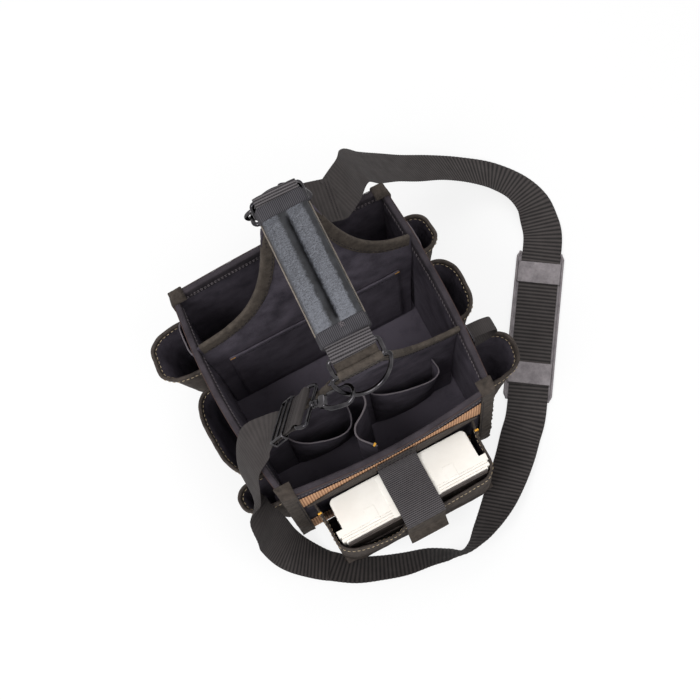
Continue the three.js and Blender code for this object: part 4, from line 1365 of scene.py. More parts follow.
@dataclass
class BodyShell(Assembly):
    """Walls, rim bindings, corner trims and the two bands of the body."""

    wall_foot: float = 0.5
    wall_grid: tuple[int, int] = (61, 56)
    wall_fold: float = 0.9
    wall_folds: Ripple = Ripple(11, 30, 110, (1, 1, 2.2))
    wall_top_fade: Pair = (14, 60)
    wall_side_fade: Pair = (4, 30)
    wall_foot_fade: Pair = (0, 30)
    seam_height: float = 4.6
    seam_radius: float = 1.6
    tape_steps: int = 121
    tape_sway: float = 0.35
    tape_folds: Ripple = Ripple(31, 9, 34)
    tape_rows: Pair = (3.5, 7.5)
    edge_radius: float = 0.45
    trim_leg: float = 14.0
    trim_skin: float = 1.6
    trim_crumple: float = 1.9
    trim_shrink: float = 0.4
    trim_folds: Ripple = Ripple(51, 18, 46, (1, 1, 0.8))
    trim_fine: float = 0.25
    trim_fine_folds: Ripple = Ripple(61, 4, 11)
    trim_steps: int = 70
    trim_seam_inset: float = 2.5
    cap_front: float = 1.6
    cap_rear: float = 13.0
    cap_rounding: tuple[Pair, ...] = ((0.1, 0.98), (0.35, 0.9), (0.6, 0.74), (0.85, 0.46), (1.0, 0.15))
    band_reach: float = 122.0
    band_upper: float = 150.0
    band_lower: float = 5.0
    band_thickness: float = 1.5
    stay_low: float = 144.0
    stay_rise: float = 45.0
    stay_half: float = 115.0
    stay_panels: tuple[Pair, Pair] = ((-112, -22.4), (30.4, 112))
    stay_thickness: float = 0.6

    def build(self) -> None:
        """Makes every piece of the shell."""
        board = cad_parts["base_board"]
        board.data.materials.clear()
        board.data.materials.append(INSIDE.material())
        seam = Shape()
        for side in Side:
            self.wall(side)
            self.binding(side)
            foot = np.linspace(-wall_reach(side) + WALL, wall_reach(side) - WALL, 30)
            seam.tube(wall_at(side, foot, self.seam_height, -WALL - GAP), self.seam_radius, sides=8)
        self.put("floor_seam", seam, [INSIDE])
        for side in (Side.LEFT, Side.RIGHT):
            for end in (Side.FRONT, Side.REAR):
                self.corner_trim(end, side)
        self.bands()
        self.stay()

    def wall(self, side: Side) -> None:
        """Makes one wall with soft folds.

        Args:
            side: The wall.
        """
        reach = wall_reach(side)
        turned = 1 if side in (Side.REAR, Side.LEFT) else -1
        along = np.linspace(-reach, reach, self.wall_grid[0]) * turned
        z = np.linspace(self.wall_foot, BODY_HEIGHT - BINDING - GAP, self.wall_grid[1])
        across, height = np.meshgrid(along, z)
        folds = self.wall_folds.seeded(len(side.value))
        plain = wall_at(side, across, height, -WALL / 2)
        fade = ease(BODY_HEIGHT - height, *self.wall_top_fade)
        fade = fade * ease(reach - np.abs(across), *self.wall_side_fade)
        fade = fade * ease(height, *self.wall_foot_fade)
        middle = wall_at(side, across, height, -WALL / 2 + self.wall_fold * folds.at(plain) * fade)
        shape = Shape()
        shape.sheet(middle, WALL - 0.3, marks=(0, 1), round_edge=0.1)
        self.put(f"{side.value}_wall_cloth", shape, [FABRIC, INSIDE], [f"{side.value}_wall"])

    def binding(self, side: Side) -> None:
        """Makes the folded tape over the edge of one wall, with its stitches.

        Args:
            side: The wall.
        """
        inner, outer, low, top = -WALL - GAP, GAP, BODY_HEIGHT - BINDING_DROP, BODY_HEIGHT
        t = BINDING
        section = [
            (inner - t, low), (inner - t, low + 7), (inner - t, top - 4), (inner - t + 0.2, top - 1.6),
            (inner - 0.6, top - 0.4), (inner + 0.8, top), (outer - 0.8, top), (outer + 0.6, top - 0.4),
            (outer + t - 0.2, top - 1.6), (outer + t, top - 4), (outer + t, low + 7), (outer + t, low),
            (outer, low), (outer, top - t), (inner, top - t), (inner, low),
        ]
        free = np.array([z for _, z in section]) > low + 0.5
        reach = wall_reach(side)
        folds = self.tape_folds.seeded(len(side.value))
        rings = []
        for along in np.linspace(-reach, reach, self.tape_steps):
            points = np.array([wall_at(side, along, z, out) for out, z in section])
            sway = self.tape_sway * folds.at(points) * free
            rings.append(points + side.outward * sway[:, None])
        shape = Shape()
        shape.loft(np.array(rings))
        name = side.value
        self.put(f"binding_tape_{name}", shape, [BINDING_TAPE], [f"rim_binding_{name}"], sharp=60)
        along = np.linspace(-reach + 4, reach - 4, 60)
        seams = []
        first, second = self.tape_rows
        for z, out, facing in ((first, inner - t, -1), (second, inner - t, -1), (first, outer + t, 1)):
            path = wall_at(side, along, low + z, out)
            normal = for_each(path, side.outward * facing)
            seams.append(Seam(path, normal, dash=3.2, space=1.4, radius=0.42))
        self.sew(f"binding_stitches_{name}", seams, GREY_THREAD)
        # the reddish cord along the top outer edge is partly the tape's own tint and partly a painted
        # highlight
        cord = Shape()
        cord.tube(wall_at(side, along, top - 1.0, outer + t - 0.1), self.edge_radius, sides=6)
        self.put(f"binding_edge_{name}", cord, [EDGE_TINT_AND_HIGHLIGHT])

    def trim_section(self, corner: tuple[Side, Side], z: float, tip: float, keep: float) -> np.ndarray:
        """Makes one section of a corner trim.

        Args:
            corner: Front or rear wall, then left or right wall.
            z: Height of the section.
            tip: Distance out of its inner corner.
            keep: Size of the section over its full size.

        Returns:
            Points of the section.
        """
        end, side = corner
        y_end = end.sign * BODY_DEPTH / 2
        x_end = side.sign * half_width(y_end)
        seat, leg = BINDING + 2 * GAP, self.trim_leg
        outer = seat + self.trim_skin
        number = len(end.value) * 7 + len(side.value)
        folds, fine = self.trim_folds.seeded(number), self.trim_fine_folds.seeded(number)
        shares = np.linspace(1, 0.12, 7)
        on_end = [wall_at(end, x_end - side.sign * leg * s, z, outer) for s in shares]
        on_side = [wall_at(side, y_end - end.sign * leg * s, z, outer) for s in shares[::-1]]
        fold = vec(x_end + side.sign * outer * 0.86, y_end + end.sign * outer * 0.86, z)
        back = [
            wall_at(side, y_end - end.sign * leg, z, seat),
            vec(x_end + side.sign * tip, y_end + end.sign * tip, z),
            wall_at(end, x_end - side.sign * leg, z, seat),
        ]
        points = np.array([*on_end, fold, *on_side, *back])
        amount = np.array([0.2, *[1.0] * 13, 0.2, 0, 0, 0])
        push = unit(points - vec(x_end - side.sign * 12, y_end - end.sign * 12, z))
        crumple = self.trim_crumple * (folds.creases(points) - self.trim_shrink)
        crumple = crumple + self.trim_fine * fine.at(points)
        points = points + push * (amount * crumple)[:, None]
        centre = vec(x_end - side.sign * 3, y_end - end.sign * 3, z)
        return centre + (points - centre) * keep

    def corner_trim(self, end: Side, side: Side) -> None:
        """Makes the hide folded round one upright corner.

        Args:
            end: Front or rear wall.
            side: Left or right wall.
        """
        corner, seat, leg, top = (end, side), BINDING + 2 * GAP, self.trim_leg, BODY_HEIGHT + GAP
        height = self.cap_front if end is Side.FRONT else self.cap_rear
        heights = np.linspace(1, top, self.trim_steps)
        rings = [self.trim_section(corner, z, seat, 1.0) for z in heights]
        for share, keep in self.cap_rounding:
            rings.append(self.trim_section(corner, top + 0.2 + (height - 0.5) * share, -leg, keep))
        shape = Shape()
        shape.loft(np.array(rings))
        name = f"{end.value}_{side.value}"
        self.put(f"corner_hide_{name}", shape, [CORNER_SUEDE], [f"corner_trim_{name}"], sharp=70)
        z = np.linspace(8, BODY_HEIGHT - 22, 60)
        y_end = end.sign * BODY_DEPTH / 2
        x_end = side.sign * half_width(y_end)
        inset = leg - self.trim_seam_inset
        rows = []
        for on, along in ((end, x_end - side.sign * inset), (side, y_end - end.sign * inset)):
            rows.append(Seam(wall_at(on, along, z, seat + self.trim_skin), for_each(z, on.outward)))
        self.sew(f"corner_stitches_{name}", rows, DARK_THREAD)

    def bands(self) -> None:
        """Makes the two webbing bands on the front wall."""
        for name, bottom in (("upper", self.band_upper), ("lower", self.band_lower)):
            along = np.linspace(-self.band_reach, self.band_reach, 90)
            low = wall_at(Side.FRONT, along, bottom, GAP + 0.6)
            high = wall_at(Side.FRONT, along, bottom + WEBBING, GAP + 0.6)
            middle = wall_at(Side.FRONT, along, bottom + WEBBING / 2, GAP + 0.75)
            shape = Shape()
            shape.ribbon(Band(middle, unit(high - low), WEBBING, self.band_thickness, 3.4, 0.36))
            self.put(f"webbing_band_{name}", shape, [TAN], [f"tan_band_{name}"])

    def stay(self) -> None:
        """Makes the hide stays over the upper band, one on each side of the tray's strap."""
        shape = Shape()
        share = np.linspace(0, 1, 12)[:, None]
        for left, right in self.stay_panels:
            across = np.linspace(left, right, 30)
            crest = self.band_upper + self.stay_rise * (1 - (across / self.stay_half) ** 2)
            height = self.stay_low + (crest - self.stay_low)[None, :] * share
            place = wall_at(Side.FRONT, np.broadcast_to(across, height.shape), height, GAP + 2.4)
            shape.sheet(place, self.stay_thickness)
        self.put("stay_panel", shape, [SUEDE])


@dataclass
class Dividers(Assembly):
    """Arched divider sheets with the trims along their arches."""

    arch_rise: float = 132.0
    sheet_folds: Ripple = Ripple(71, 22, 90, (1, 1, 2.6))
    sheet_side_fade: Pair = (0.02, 0.22)
    sheet_top_fade: Pair = (6, 40)
    arch_fold_span: Pair = (195, 260)
    sheet_fold: float = 0.5
    arch_fold: float = 1.3
    arch_ends: Pair = (344.0, 349.0)
    hide_face: float = 1.6
    hide_skin: float = 3.0
    hide_cap: float = 1.9
    hide_width: float = 14.0
    hide_folds: Ripple = Ripple(91, 7, 24)
    hide_crumple: float = 0.35
    hide_step: float = 2.0
    seam_inset: float = 3.0

    def build(self) -> None:
        """Makes both dividers."""
        for divider in (FRONT_DIVIDER, REAR_DIVIDER):
            self.sheet(divider)
            for sign, side in ((-1, "left"), (1, "right")):
                self.trim(divider, sign, side)

    def sheet(self, divider: Divider) -> None:
        """Makes one divider with creases that run up to its tab.

        Args:
            divider: Its place.
        """
        arch = BODY_HEIGHT + self.arch_rise * np.linspace(0, 1, 46)[1:] ** 1.6
        z = np.concatenate([np.linspace(BASE + GAP, BODY_HEIGHT, 40), arch])
        left, right = divider.edge(-1, z), divider.edge(1, z)
        share = np.linspace(0, 1, 49)
        x = left[:, None] + (right - left)[:, None] * share[None, :]
        if divider.sign < 0:
            x = x[:, ::-1]
        height = np.repeat(z[:, None], len(share), 1)
        plain = divider.at(x, height)
        folds = self.sheet_folds.seeded(divider.sign)
        fade = ease(np.minimum(share, 1 - share), *self.sheet_side_fade)[None, :]
        fade = fade * ease(SHEET_TOP - height, *self.sheet_top_fade)
        rise = self.sheet_fold + self.arch_fold * ease(height, *self.arch_fold_span)
        middle = divider.at(x, height, folds.at(plain) * fade * rise)
        shape = Shape()
        shape.sheet(middle, DIVIDER - 0.4)
        self.put(f"{divider.name}_divider_cloth", shape, [INSIDE], [f"{divider.name}_divider"])

    def arch_path(self, divider: Divider, sign: int) -> np.ndarray:
        """Follows the free edge of one side of an arch.

        Args:
            divider: The divider.
            sign: -1 for the left and 1 for the right.

        Returns:
            Points from the rim up to the tab.
        """
        z = BODY_HEIGHT + 100 * np.linspace(0.1, 1, 80) ** 2
        x = divider.edge(sign, z)
        free = np.abs(x - divider.limit(sign)) > 1e-6
        path = respaced(divider.at(x, z)[free], self.hide_step)[0]
        ends = np.array(self.arch_ends)
        path = np.concatenate([path, divider.at(divider.edge(sign, ends), ends)])
        return respaced(path, self.hide_step)[0]

    def trim(self, divider: Divider, sign: int, side: str) -> None:
        """Makes the hide folded over one side of an arch.

        Args:
            divider: The divider.
            sign: -1 for the left and 1 for the right.
            side: Name of that side.
        """
        path = self.arch_path(divider, sign)
        along = tangents(path)
        slope = divider.at(0, path[:, 2] + 1) - divider.at(0, path[:, 2] - 1)
        normal = unit(np.cross(slope, X_AXIS))
        inward = unit(np.cross(along, normal)) * sign
        face, skin, cap, wide = self.hide_face, self.hide_skin, self.hide_cap, self.hide_width
        section = [
            (-skin + 0.5, wide), (-skin, wide - 1.5), (-skin, 4), (-skin, 0.4), (-skin * 0.75, -cap * 0.75),
            (0, -cap), (skin * 0.75, -cap * 0.75), (skin, 0.4), (skin, 4), (skin, wide - 1.5),
            (skin - 0.5, wide), (face, wide), (face, 0), (-face, 0), (-face, wide),
        ]
        folds = self.hide_folds.seeded(sign + divider.sign * 3)
        rings = []
        for out, into in section:
            points = path + normal * out + inward * into
            amount = self.hide_crumple * folds.at(points) if abs(out) > face or into < 0 else 0
            rings.append(points + normal * np.sign(out) * np.reshape(amount, (-1, 1)))
        shape = Shape()
        shape.loft(np.stack(rings, 1))
        arch = f"{divider.name}_arch"
        self.put(f"{arch}_hide_{side}", shape, [TRIM_SUEDE], [f"{arch}_trim_{side}"], sharp=70)
        rows = []
        for facing in (-1, 1):
            line = path + normal * facing * (skin + 0.1) + inward * (wide - self.seam_inset)
            rows.append(Seam(line[2:-2], normal[2:-2] * facing))
        self.sew(f"{arch}_stitches_{side}", rows, DARK_THREAD)


@dataclass
class Handle(Assembly):
    """Handle webbing, its padded grip, and the tabs and rings that hold it."""

    on_sheet: float = 2.55
    on_bar: float = 3.55
    tab_low: float = 344.0
    tab_mid: float = 355.0
    tab_neck: float = 50.0
    tab_hide: float = 1.5
    tab_lump: float = 0.1
    tab_folds: Ripple = Ripple(111, 6, 22)
    flap_hide: float = 1.6
    flap_lump: float = 0.4
    flap_folds: Ripple = Ripple(117, 6, 20)
    ring_half: float = 29.0
    ring_corner: float = 4.2
    d_half: float = 34.0
    d_round: float = 38.0
    d_bar: float = 31.0
    strip_turn: float = 42.0
    strip_thickness: float = 2.5
    strip_lift: float = 1.25
    grip_low: float = -44.0
    grip_high: float = 103.0
    grip_half: float = 28.0
    grip_core: float = 5.6
    grip_skin: float = 1.3
    grip_edge: float = 1.5
    grip_crown: float = 8.0
    grip_belly: float = 4.0
    grip_crease: float = 0.9
    grip_folds: Ripple = Ripple(131, 9, 30, (1.5, 0.8, 1.5), 12)
    grip_fine: float = 0.4
    grip_fine_folds: Ripple = Ripple(137, 4, 12, (1.7, 0.9, 1.7), 10)
    grip_steps: int = 150
    grip_front_fade: Pair = (-38, -27)
    grip_rear: float = 99.0
    grip_rear_fade: Pair = (2, 13)
    grip_end_fade: float = 5.0
    end_swell: float = 0.45
    edge_swell: float = 0.75
    end_groove: float = 0.35
    tape_swell: float = 0.46
    tape_grow: Pair = (0.5, 0.7)
    tape_groove: float = 0.3
    zigzag_span: Pair = (-37, 97)
    tuft_seed: int = 7
    tape_spans: tuple[tuple[str, float, float], ...] = (("front", -53.3, -38.0), ("rear", 97.0, 113.6))
    tape_rib: float = 0.28
    cord_offset: float = 28.3
    cord_rise: float = 1.2
    cord_radius: float = 1.0
    cord_span: Pair = (-38, 97)
    groove_shift: float = 2.4
    zigzag_step: float = 1.9
    zigzag_reach: float = 1.5
    zigzag_rise: float = 8.1
    zigzag_radius: float = 0.42
    tuft_threads: int = 6
    tuft_radius: float = 0.22

    def build(self) -> None:
        """Makes the handle and both ends."""
        for divider in (FRONT_DIVIDER, REAR_DIVIDER):
            self.tab(divider)
            self.rings(divider)
        self.webbing()
        self.pad()
        self.end_tapes()
        self.piping()
        self.groove()

    def tab(self, divider: Divider) -> None:
        """Makes the hide tab folded over the two ring bars.

        Args:
            divider: The divider that it is sewn to.
        """
        top, on_sheet, on_bar, neck = divider.top(), self.on_sheet, self.on_bar, self.tab_neck
        low, mid = 2 * divider.arch_half(self.tab_low), 2 * divider.arch_half(self.tab_mid)
        side = [(on_sheet, -29, low), (on_sheet, -17.4, mid), (on_sheet, -6, 57), (on_sheet + 0.2, 0, 55),
                (on_bar, 5, 51), (on_bar, 11, neck)]
        turn = np.linspace(0, math.pi, 9)
        over = [(math.cos(a) * on_bar, RING_BAR_RISE + math.sin(a) * on_bar, neck) for a in turn]
        back = [(-out, up, width) for out, up, width in reversed(side)]
        stations = np.array([*side, *over, *back])
        dense, width = respaced(stations[:, :2], 1.2, stations[:, 2])
        path = np.array([top.at(0, up, out) for out, up in dense])
        up = unit(np.cross(tangents(path), top.x))
        share = np.linspace(-1, 1, 27)
        plain = path[:, None] + top.x * (share[None, :, None] * width[:, None, None] / 2)
        folds = self.tab_folds.seeded(divider.sign)
        edge = ease(1 - np.abs(share), 0, 0.2)
        lump = self.tab_lump * folds.at(plain) * edge[None, :]
        shape = Shape()
        shape.sheet(plain + up[:, None] * lump[..., None], self.tab_hide, round_edge=0.4)
        name = divider.name
        self.put(f"{name}_tab_hide", shape, [TRIM_SUEDE], [f"{name}_ring_tab"], sharp=60)
        self.tab_seams(divider)
        self.flap(divider)

    def tab_seams(self, divider: Divider) -> None:
        """Makes the stitches of a tab: a box on each face and rows along the arch.

        Args:
            divider: The divider that it is sewn to.
        """
        top, face = divider.top(), self.on_sheet + self.tab_hide / 2
        box = [(-23, -24), (23, -24), (21, -3), (-21, -3), (-23, -24)]
        heights = np.linspace(346, 362, 8)
        rows = []
        for sign in (-1, 1):
            line = respaced(np.array([top.at(x, y, sign * (face + 0.05)) for x, y in box]), 2.0)[0]
            rows.append(Seam(line, for_each(line, top.z * sign)))
            for s in (-1, 1):
                arch = []
                for z in heights:
                    x = divider.tab_x + s * (divider.arch_half(z) - 3.5)
                    arch.append(divider.at(x, z, 0) + top.z * sign * face)
                rows.append(Seam(np.array(arch), for_each(heights, top.z * sign)))
        self.sew(f"{divider.name}_tab_stitches", rows, DARK_THREAD)

    def flap(self, divider: Divider) -> None:
        """Makes the free end of the tab, under the rectangular ring.

        Args:
            divider: The divider that it is sewn to.
        """
        low, high = divider.top().at(0, RING_BAR_RISE), divider.handle_end()
        rise = high - low
        under = np.cross(unit(rise), X_AXIS)
        under = under * -np.sign(under[2])
        share, across = np.meshgrid(np.linspace(-0.25, 1, 10), np.linspace(-24, 24, 21), indexing="ij")
        swell = 3.6 + 1.2 * np.sin(math.pi * np.clip(share, 0, 1))
        plain = low + rise * (share * 0.76)[..., None] + X_AXIS * across[..., None]
        plain = plain + under * swell[..., None]
        folds = self.flap_folds.seeded(divider.sign)
        shape = Shape()
        lump = (self.flap_lump * folds.at(plain))[..., None]
        shape.sheet(plain + under * lump, self.flap_hide, round_edge=0.4)
        self.put(f"{divider.name}_tab_flap", shape, [TRIM_SUEDE], sharp=60)

    def rings(self, divider: Divider) -> None:
        """Makes the rectangular ring and the D ring of one end.

        Args:
            divider: The divider that carries them.
        """
        name = divider.name
        low, high = divider.top().at(0, RING_BAR_RISE), divider.handle_end()
        rise = high - low
        y = unit(rise)
        place = Frame((low + high) / 2, X_AXIS, y, np.cross(X_AXIS, y))
        length = float(np.linalg.norm(rise)) / 2
        outline = rounded_outline((-self.ring_half, -length), (self.ring_half, length), self.ring_corner)
        shape = Shape()
        shape.tube(ring_path([place.at(px, py) for px, py in outline], 1.5), RING_WIRE, True, 14)
        self.put(f"{name}_rectangular_ring", shape, [NICKEL], [f"{name}_rect_ring"])
        d_place = divider.d_frame()
        turn = np.linspace(0.1, math.pi - 0.1, 60)
        arc = [(self.d_half * math.cos(a), self.d_round * math.sin(a)) for a in turn]
        bar = [(x, 0.0) for x in np.linspace(-self.d_bar, self.d_bar, 30)]
        closed = ring_path([d_place.at(px, py) for px, py in [*arc, *bar]], 1.6)
        smooth = (np.roll(closed, 1, 0) + 2 * closed + np.roll(closed, -1, 0)) / 4
        shape = Shape()
        shape.tube(smooth, RING_WIRE, True, 14)
        self.put(f"{name}_d_ring_wire", shape, [NICKEL], [f"{name}_d_ring"], f"{name}_d_ring")

    def webbing(self) -> None:
        """Makes the one strip of webbing that turns round both rings."""
        layer, turn = RING_WIRE + GAP + self.strip_lift, self.strip_turn
        front, rear = FRONT_DIVIDER.handle_end(), REAR_DIVIDER.handle_end()
        along = unit(rear - front)
        length = float(np.linalg.norm(rear - front))
        angles = np.linspace(-math.pi / 2, math.pi / 2, 17)
        turns = []
        for end, way in ((front, 1), (rear, -1)):
            reach, rise = along * (-way * layer), Z_AXIS * (way * layer)
            turns.append([end + reach * math.cos(a) + rise * math.sin(a) for a in angles])
        under, over = Z_AXIS * -layer, Z_AXIS * layer
        path = np.array([
            front + along * turn + under, *turns[0], front + along * turn + over,
            front + along * (length - turn) + over, *turns[1], rear - along * turn + under,
        ])
        shape = Shape()
        across = for_each(path, X_AXIS)
        shape.ribbon(Band(path, across, WEBBING - 0.4, self.strip_thickness, 3.2, 0.4, 17))
        self.put("handle_strip", shape, [CHECK], ["handle_webbing"])

    @staticmethod
    def middle(y: float) -> float:
        """Gives the place across of the grip's middle line."""
        share = (y - HANDLE_FRONT_Y) / (HANDLE_REAR_Y - HANDLE_FRONT_Y)
        return mix(FRONT_DIVIDER.tab_x, REAR_DIVIDER.tab_x, share)

    def section(self, y: float, swell: float, grow: float, groove: float) -> np.ndarray:
        """Makes one section of the grip.

        Args:
            y: Place along the handle.
            swell: How full the padding is.
            grow: Extra size outwards.
            groove: Depth of the seam between the lobes, 1 for full.

        Returns:
            Points of the section.
        """
        made = []
        half, flat = self.grip_half, self.grip_core + self.grip_skin
        sag = 1.0 - float(ease(y, 86, 98))
        shares = np.sin(np.linspace(-math.pi / 2, math.pi / 2, 45))
        for share in shares:
            lobe = math.sqrt(max(0.0, 1 - (abs(share) * 2 - 1) ** 2))
            full = math.sqrt(max(0.0, 1 - share**4))
            shape = mix(full * 0.82, lobe, groove)
            height = flat + self.grip_crown * swell * shape if abs(share) < 0.999 else 0.0
            edge = ease(1 - abs(share), 0.0, 0.09)
            made.append((half * share * (1 + grow / half), mix(self.grip_edge, height + grow, float(edge))))
        for share in shares[::-1][1:-1]:
            drop = (self.grip_belly * swell * math.sqrt(max(0.0, 1 - share * share)) + grow) * sag
            edge = ease(1 - abs(share), 0.0, 0.1)
            made.append((half * share * (1 + grow / half), -mix(self.grip_edge, flat + drop, float(edge))))
        x0 = self.middle(y)
        return np.array([(x0 + x, y, HANDLE_Z + z) for x, z in made])

    def pad(self) -> None:
        """Makes the padded part of the grip: two wrinkled lobes with a groove between them."""
        low, high = self.grip_low, self.grip_high
        rings = []
        for y in np.linspace(low, high, self.grip_steps):
            inside = float(ease(y, *self.grip_front_fade) * ease(self.grip_rear - y, *self.grip_rear_fade))
            end = float(ease(y, low, low + self.grip_end_fade) * ease(high - y, 0, self.grip_end_fade))
            swell = mix(self.end_swell, 1.0, inside) * mix(self.edge_swell, 1, end)
            ring = self.section(y, swell, 0.0, mix(self.end_groove, 1.0, inside))
            centre = vec(self.middle(y), y, HANDLE_Z)
            push = unit(ring - centre)
            share = np.abs(ring[:, 0] - centre[0]) / self.grip_half
            soft = (ease(1 - share, 0.02, 0.2) * ease(share, 0.05, 0.2))[:, None]
            amount = self.grip_crease * self.grip_folds.at(ring)
            amount = (amount + self.grip_fine * self.grip_fine_folds.at(ring))[:, None]
            rings.append(ring + push * (amount * inside) * soft)
        shape = Shape()
        across = rings[0][:, 0] - self.middle(rings[0][0, 1])
        places = np.stack(np.meshgrid(across, [ring[0, 1] for ring in rings]), -1)
        shape.loft(np.array(rings), places=places)
        pad = self.put("grip_pad", shape, [VINYL], ["handle_pad"], sharp=75)

    def end_tapes(self) -> None:
        """Makes the ribbed tape wrapped round each end of the grip."""
        for name, low, high in self.tape_spans:
            shape = Shape()
            rings = []
            for y in np.linspace(low, high, 9):
                edge = min(1.0, min(y - low, high - y) / 1.5)
                grow = self.tape_grow[0] + self.tape_grow[1] * edge
                ring = self.section(y, self.tape_swell, grow, self.tape_groove)
                rib = self.tape_rib * np.cos(np.arange(len(ring)) * math.pi)
                rings.append(ring + unit(ring - vec(self.middle(y), y, HANDLE_Z)) * rib[:, None])
            around = lengths(rings[0]) * RIB / 2.0
            places = np.stack(np.meshgrid(around, [ring[0, 1] for ring in rings]), -1)[..., ::-1]
            shape.loft(np.array(rings), places=places)
            self.put(f"grip_band_{name}", shape, [END_TAPE], sharp=80)

    def piping(self) -> None:
        """Makes the cord along both long edges of the grip."""
        for sign, name in ((-1, "left"), (1, "right")):
            y = np.linspace(*self.cord_span, 100)
            x = np.array([self.middle(v) for v in y]) + sign * self.cord_offset
            z = HANDLE_Z + self.cord_rise + 0.5 * np.sin(y * 0.21 + sign)
            shape = Shape()
            shape.tube(np.stack([x, y, z], 1), self.cord_radius, sides=10)
            self.put(f"grip_piping_{name}", shape, [PIPING])

    def groove(self) -> None:
        """Makes the zigzag stitches and the thread tuft in the groove."""
        y = np.arange(*self.zigzag_span, self.zigzag_step)
        odd = np.arange(len(y)) % 2
        x = np.array([self.middle(v) for v in y]) - self.groove_shift
        x = x + self.zigzag_reach * np.where(odd, 1, -1)
        z = np.full(len(y), HANDLE_Z + self.zigzag_rise) + 0.9 * np.where(odd, 1, 0)
        shape = Shape()
        shape.tube(np.stack([x, y, z], 1), self.zigzag_radius, sides=6)
        self.put("grip_zigzag", shape, [DARK_THREAD])
        tuft = Shape()
        random = np.random.RandomState(self.tuft_seed)
        for _ in range(self.tuft_threads):
            start = vec(self.middle(-38) + random.uniform(-2, 2), -38.6, HANDLE_Z + 11.5)
            bend = start + vec(random.uniform(-3, 3), -2.5, random.uniform(0.2, 1.6))
            tip = bend + vec(random.uniform(-4, 4), -3.0, random.uniform(-1.6, 0.4))
            tuft.tube(spline(np.array([start, bend, tip]), 4), self.tuft_radius, sides=5)
        self.put("grip_thread_tuft", tuft, [GREY_THREAD])


@dataclass
class SnapHook(Assembly):
    """A snap hook, its gate and its swivel eye, at one end of the shoulder strap."""

    name: str = "front"
    place: Frame = Frame(Z_AXIS * 0, X_AXIS, Y_AXIS, Z_AXIS)
    eye: Frame = Frame(Z_AXIS * 0, X_AXIS, Y_AXIS, Z_AXIS)
    bend_radius: float = 10.3
    bend_start: float = 3.0
    wire: float = 2.3
    wire_growth: float = 0.5
    gate_wire: float = 1.5
    stud_radius: float = 1.2
    gate_course: tuple[Pair, ...] = ((27.0, -6.8), (19.0, -8.6), (11.3, -9.5), (3.6, -10.3))
    stud_course: tuple[Pair, Pair] = ((13.0, -9.6), (13.0, -11.6))
    barrel: tuple[Pair, ...] = (
        (37.6, 3.2), (38, 4.2), (39.2, 4.5), (40.5, 4.5), (41, 3.7), (42, 3.6), (42.6, 4.4),
        (44, 4.4), (44, 2.2),
    )
    boss: tuple[Pair, ...] = ((44.3, 3.4), (44.6, 4.6), (45.6, 5), (47.4, 5), (48.6, 4.4), (49.5, 3))
    eye_half: float = 28.2
    eye_depth: float = 14.0
    eye_corner: float = 4.5

    def build(self) -> None:
        """Makes the three pieces."""
        self.hook()
        self.gate()
        self.swivel_eye()

    def turned(self, rows: Sequence[Pair], sides: int = 20) -> np.ndarray:
        """Makes sections of a turned piece about the hook's axis.

        Args:
            rows: Distance along the axis and radius of each section.
            sides: Corners round it.

        Returns:
            Points by section.
        """
        angles = np.linspace(0, 2 * math.pi, sides, endpoint=False)
        made = [[self.place.at(x, r * math.cos(a), r * math.sin(a)) for a in angles] for x, r in rows]
        return np.array(made)

    def hook(self) -> None:
        """Makes the bent wire, its block and its barrel."""
        r = self.bend_radius
        turn = np.linspace(-math.pi / 2, math.pi / 2, 28)
        bend = [(self.bend_start - math.cos(a) * r, math.sin(a) * r) for a in turn]
        flat = spline(np.array([*bend, (12, 10.6), (22, 10.2), (29, 7.7), (33, 4.1)]), 3)
        path = np.array([self.place.at(x, y) for x, y in flat])
        number = np.arange(len(path))
        size = self.wire + self.wire_growth * ease(number, 60, len(path))
        shape = Shape()
        shape.tube(path, size * np.where(number < 8, 0.94, 1.0), sides=14)
        shape.block(self.place, (29, -7, -3.6), (38, 7, 3.6), 1.2)
        shape.loft(self.turned(self.barrel))
        name = self.name
        self.put(f"{name}_hook_body", shape, [NICKEL], [f"{name}_snap_hook"], f"{name}_hook")

    def gate(self) -> None:
        """Makes the sprung gate with its finger stud."""
        flat = respaced(np.array(self.gate_course), 1.0)[0]
        shape = Shape()
        shape.tube(np.array([self.place.at(x, y) for x, y in flat]), self.gate_wire, sides=12)
        stud = np.array([self.place.at(x, y) for x, y in self.stud_course])
        shape.tube(respaced(stud, 0.5)[0], self.stud_radius, sides=10)
        name = self.name
        self.put(f"{name}_gate_wire", shape, [NICKEL], [f"{name}_hook_gate"], f"{name}_gate")

    def swivel_eye(self) -> None:
        """Makes the wide wire eye and the boss that the hook turns on."""
        outline = rounded_outline((-self.eye_depth, -self.eye_half), (0, self.eye_half), self.eye_corner)
        shape = Shape()
        shape.tube(ring_path([self.eye.at(x, y) for x, y in outline], 1.3), self.wire, True, 14)
        shape.loft(self.turned(self.boss))
        self.put(f"{self.name}_eye_frame", shape, [NICKEL], [f"{self.name}_swivel_eye"])


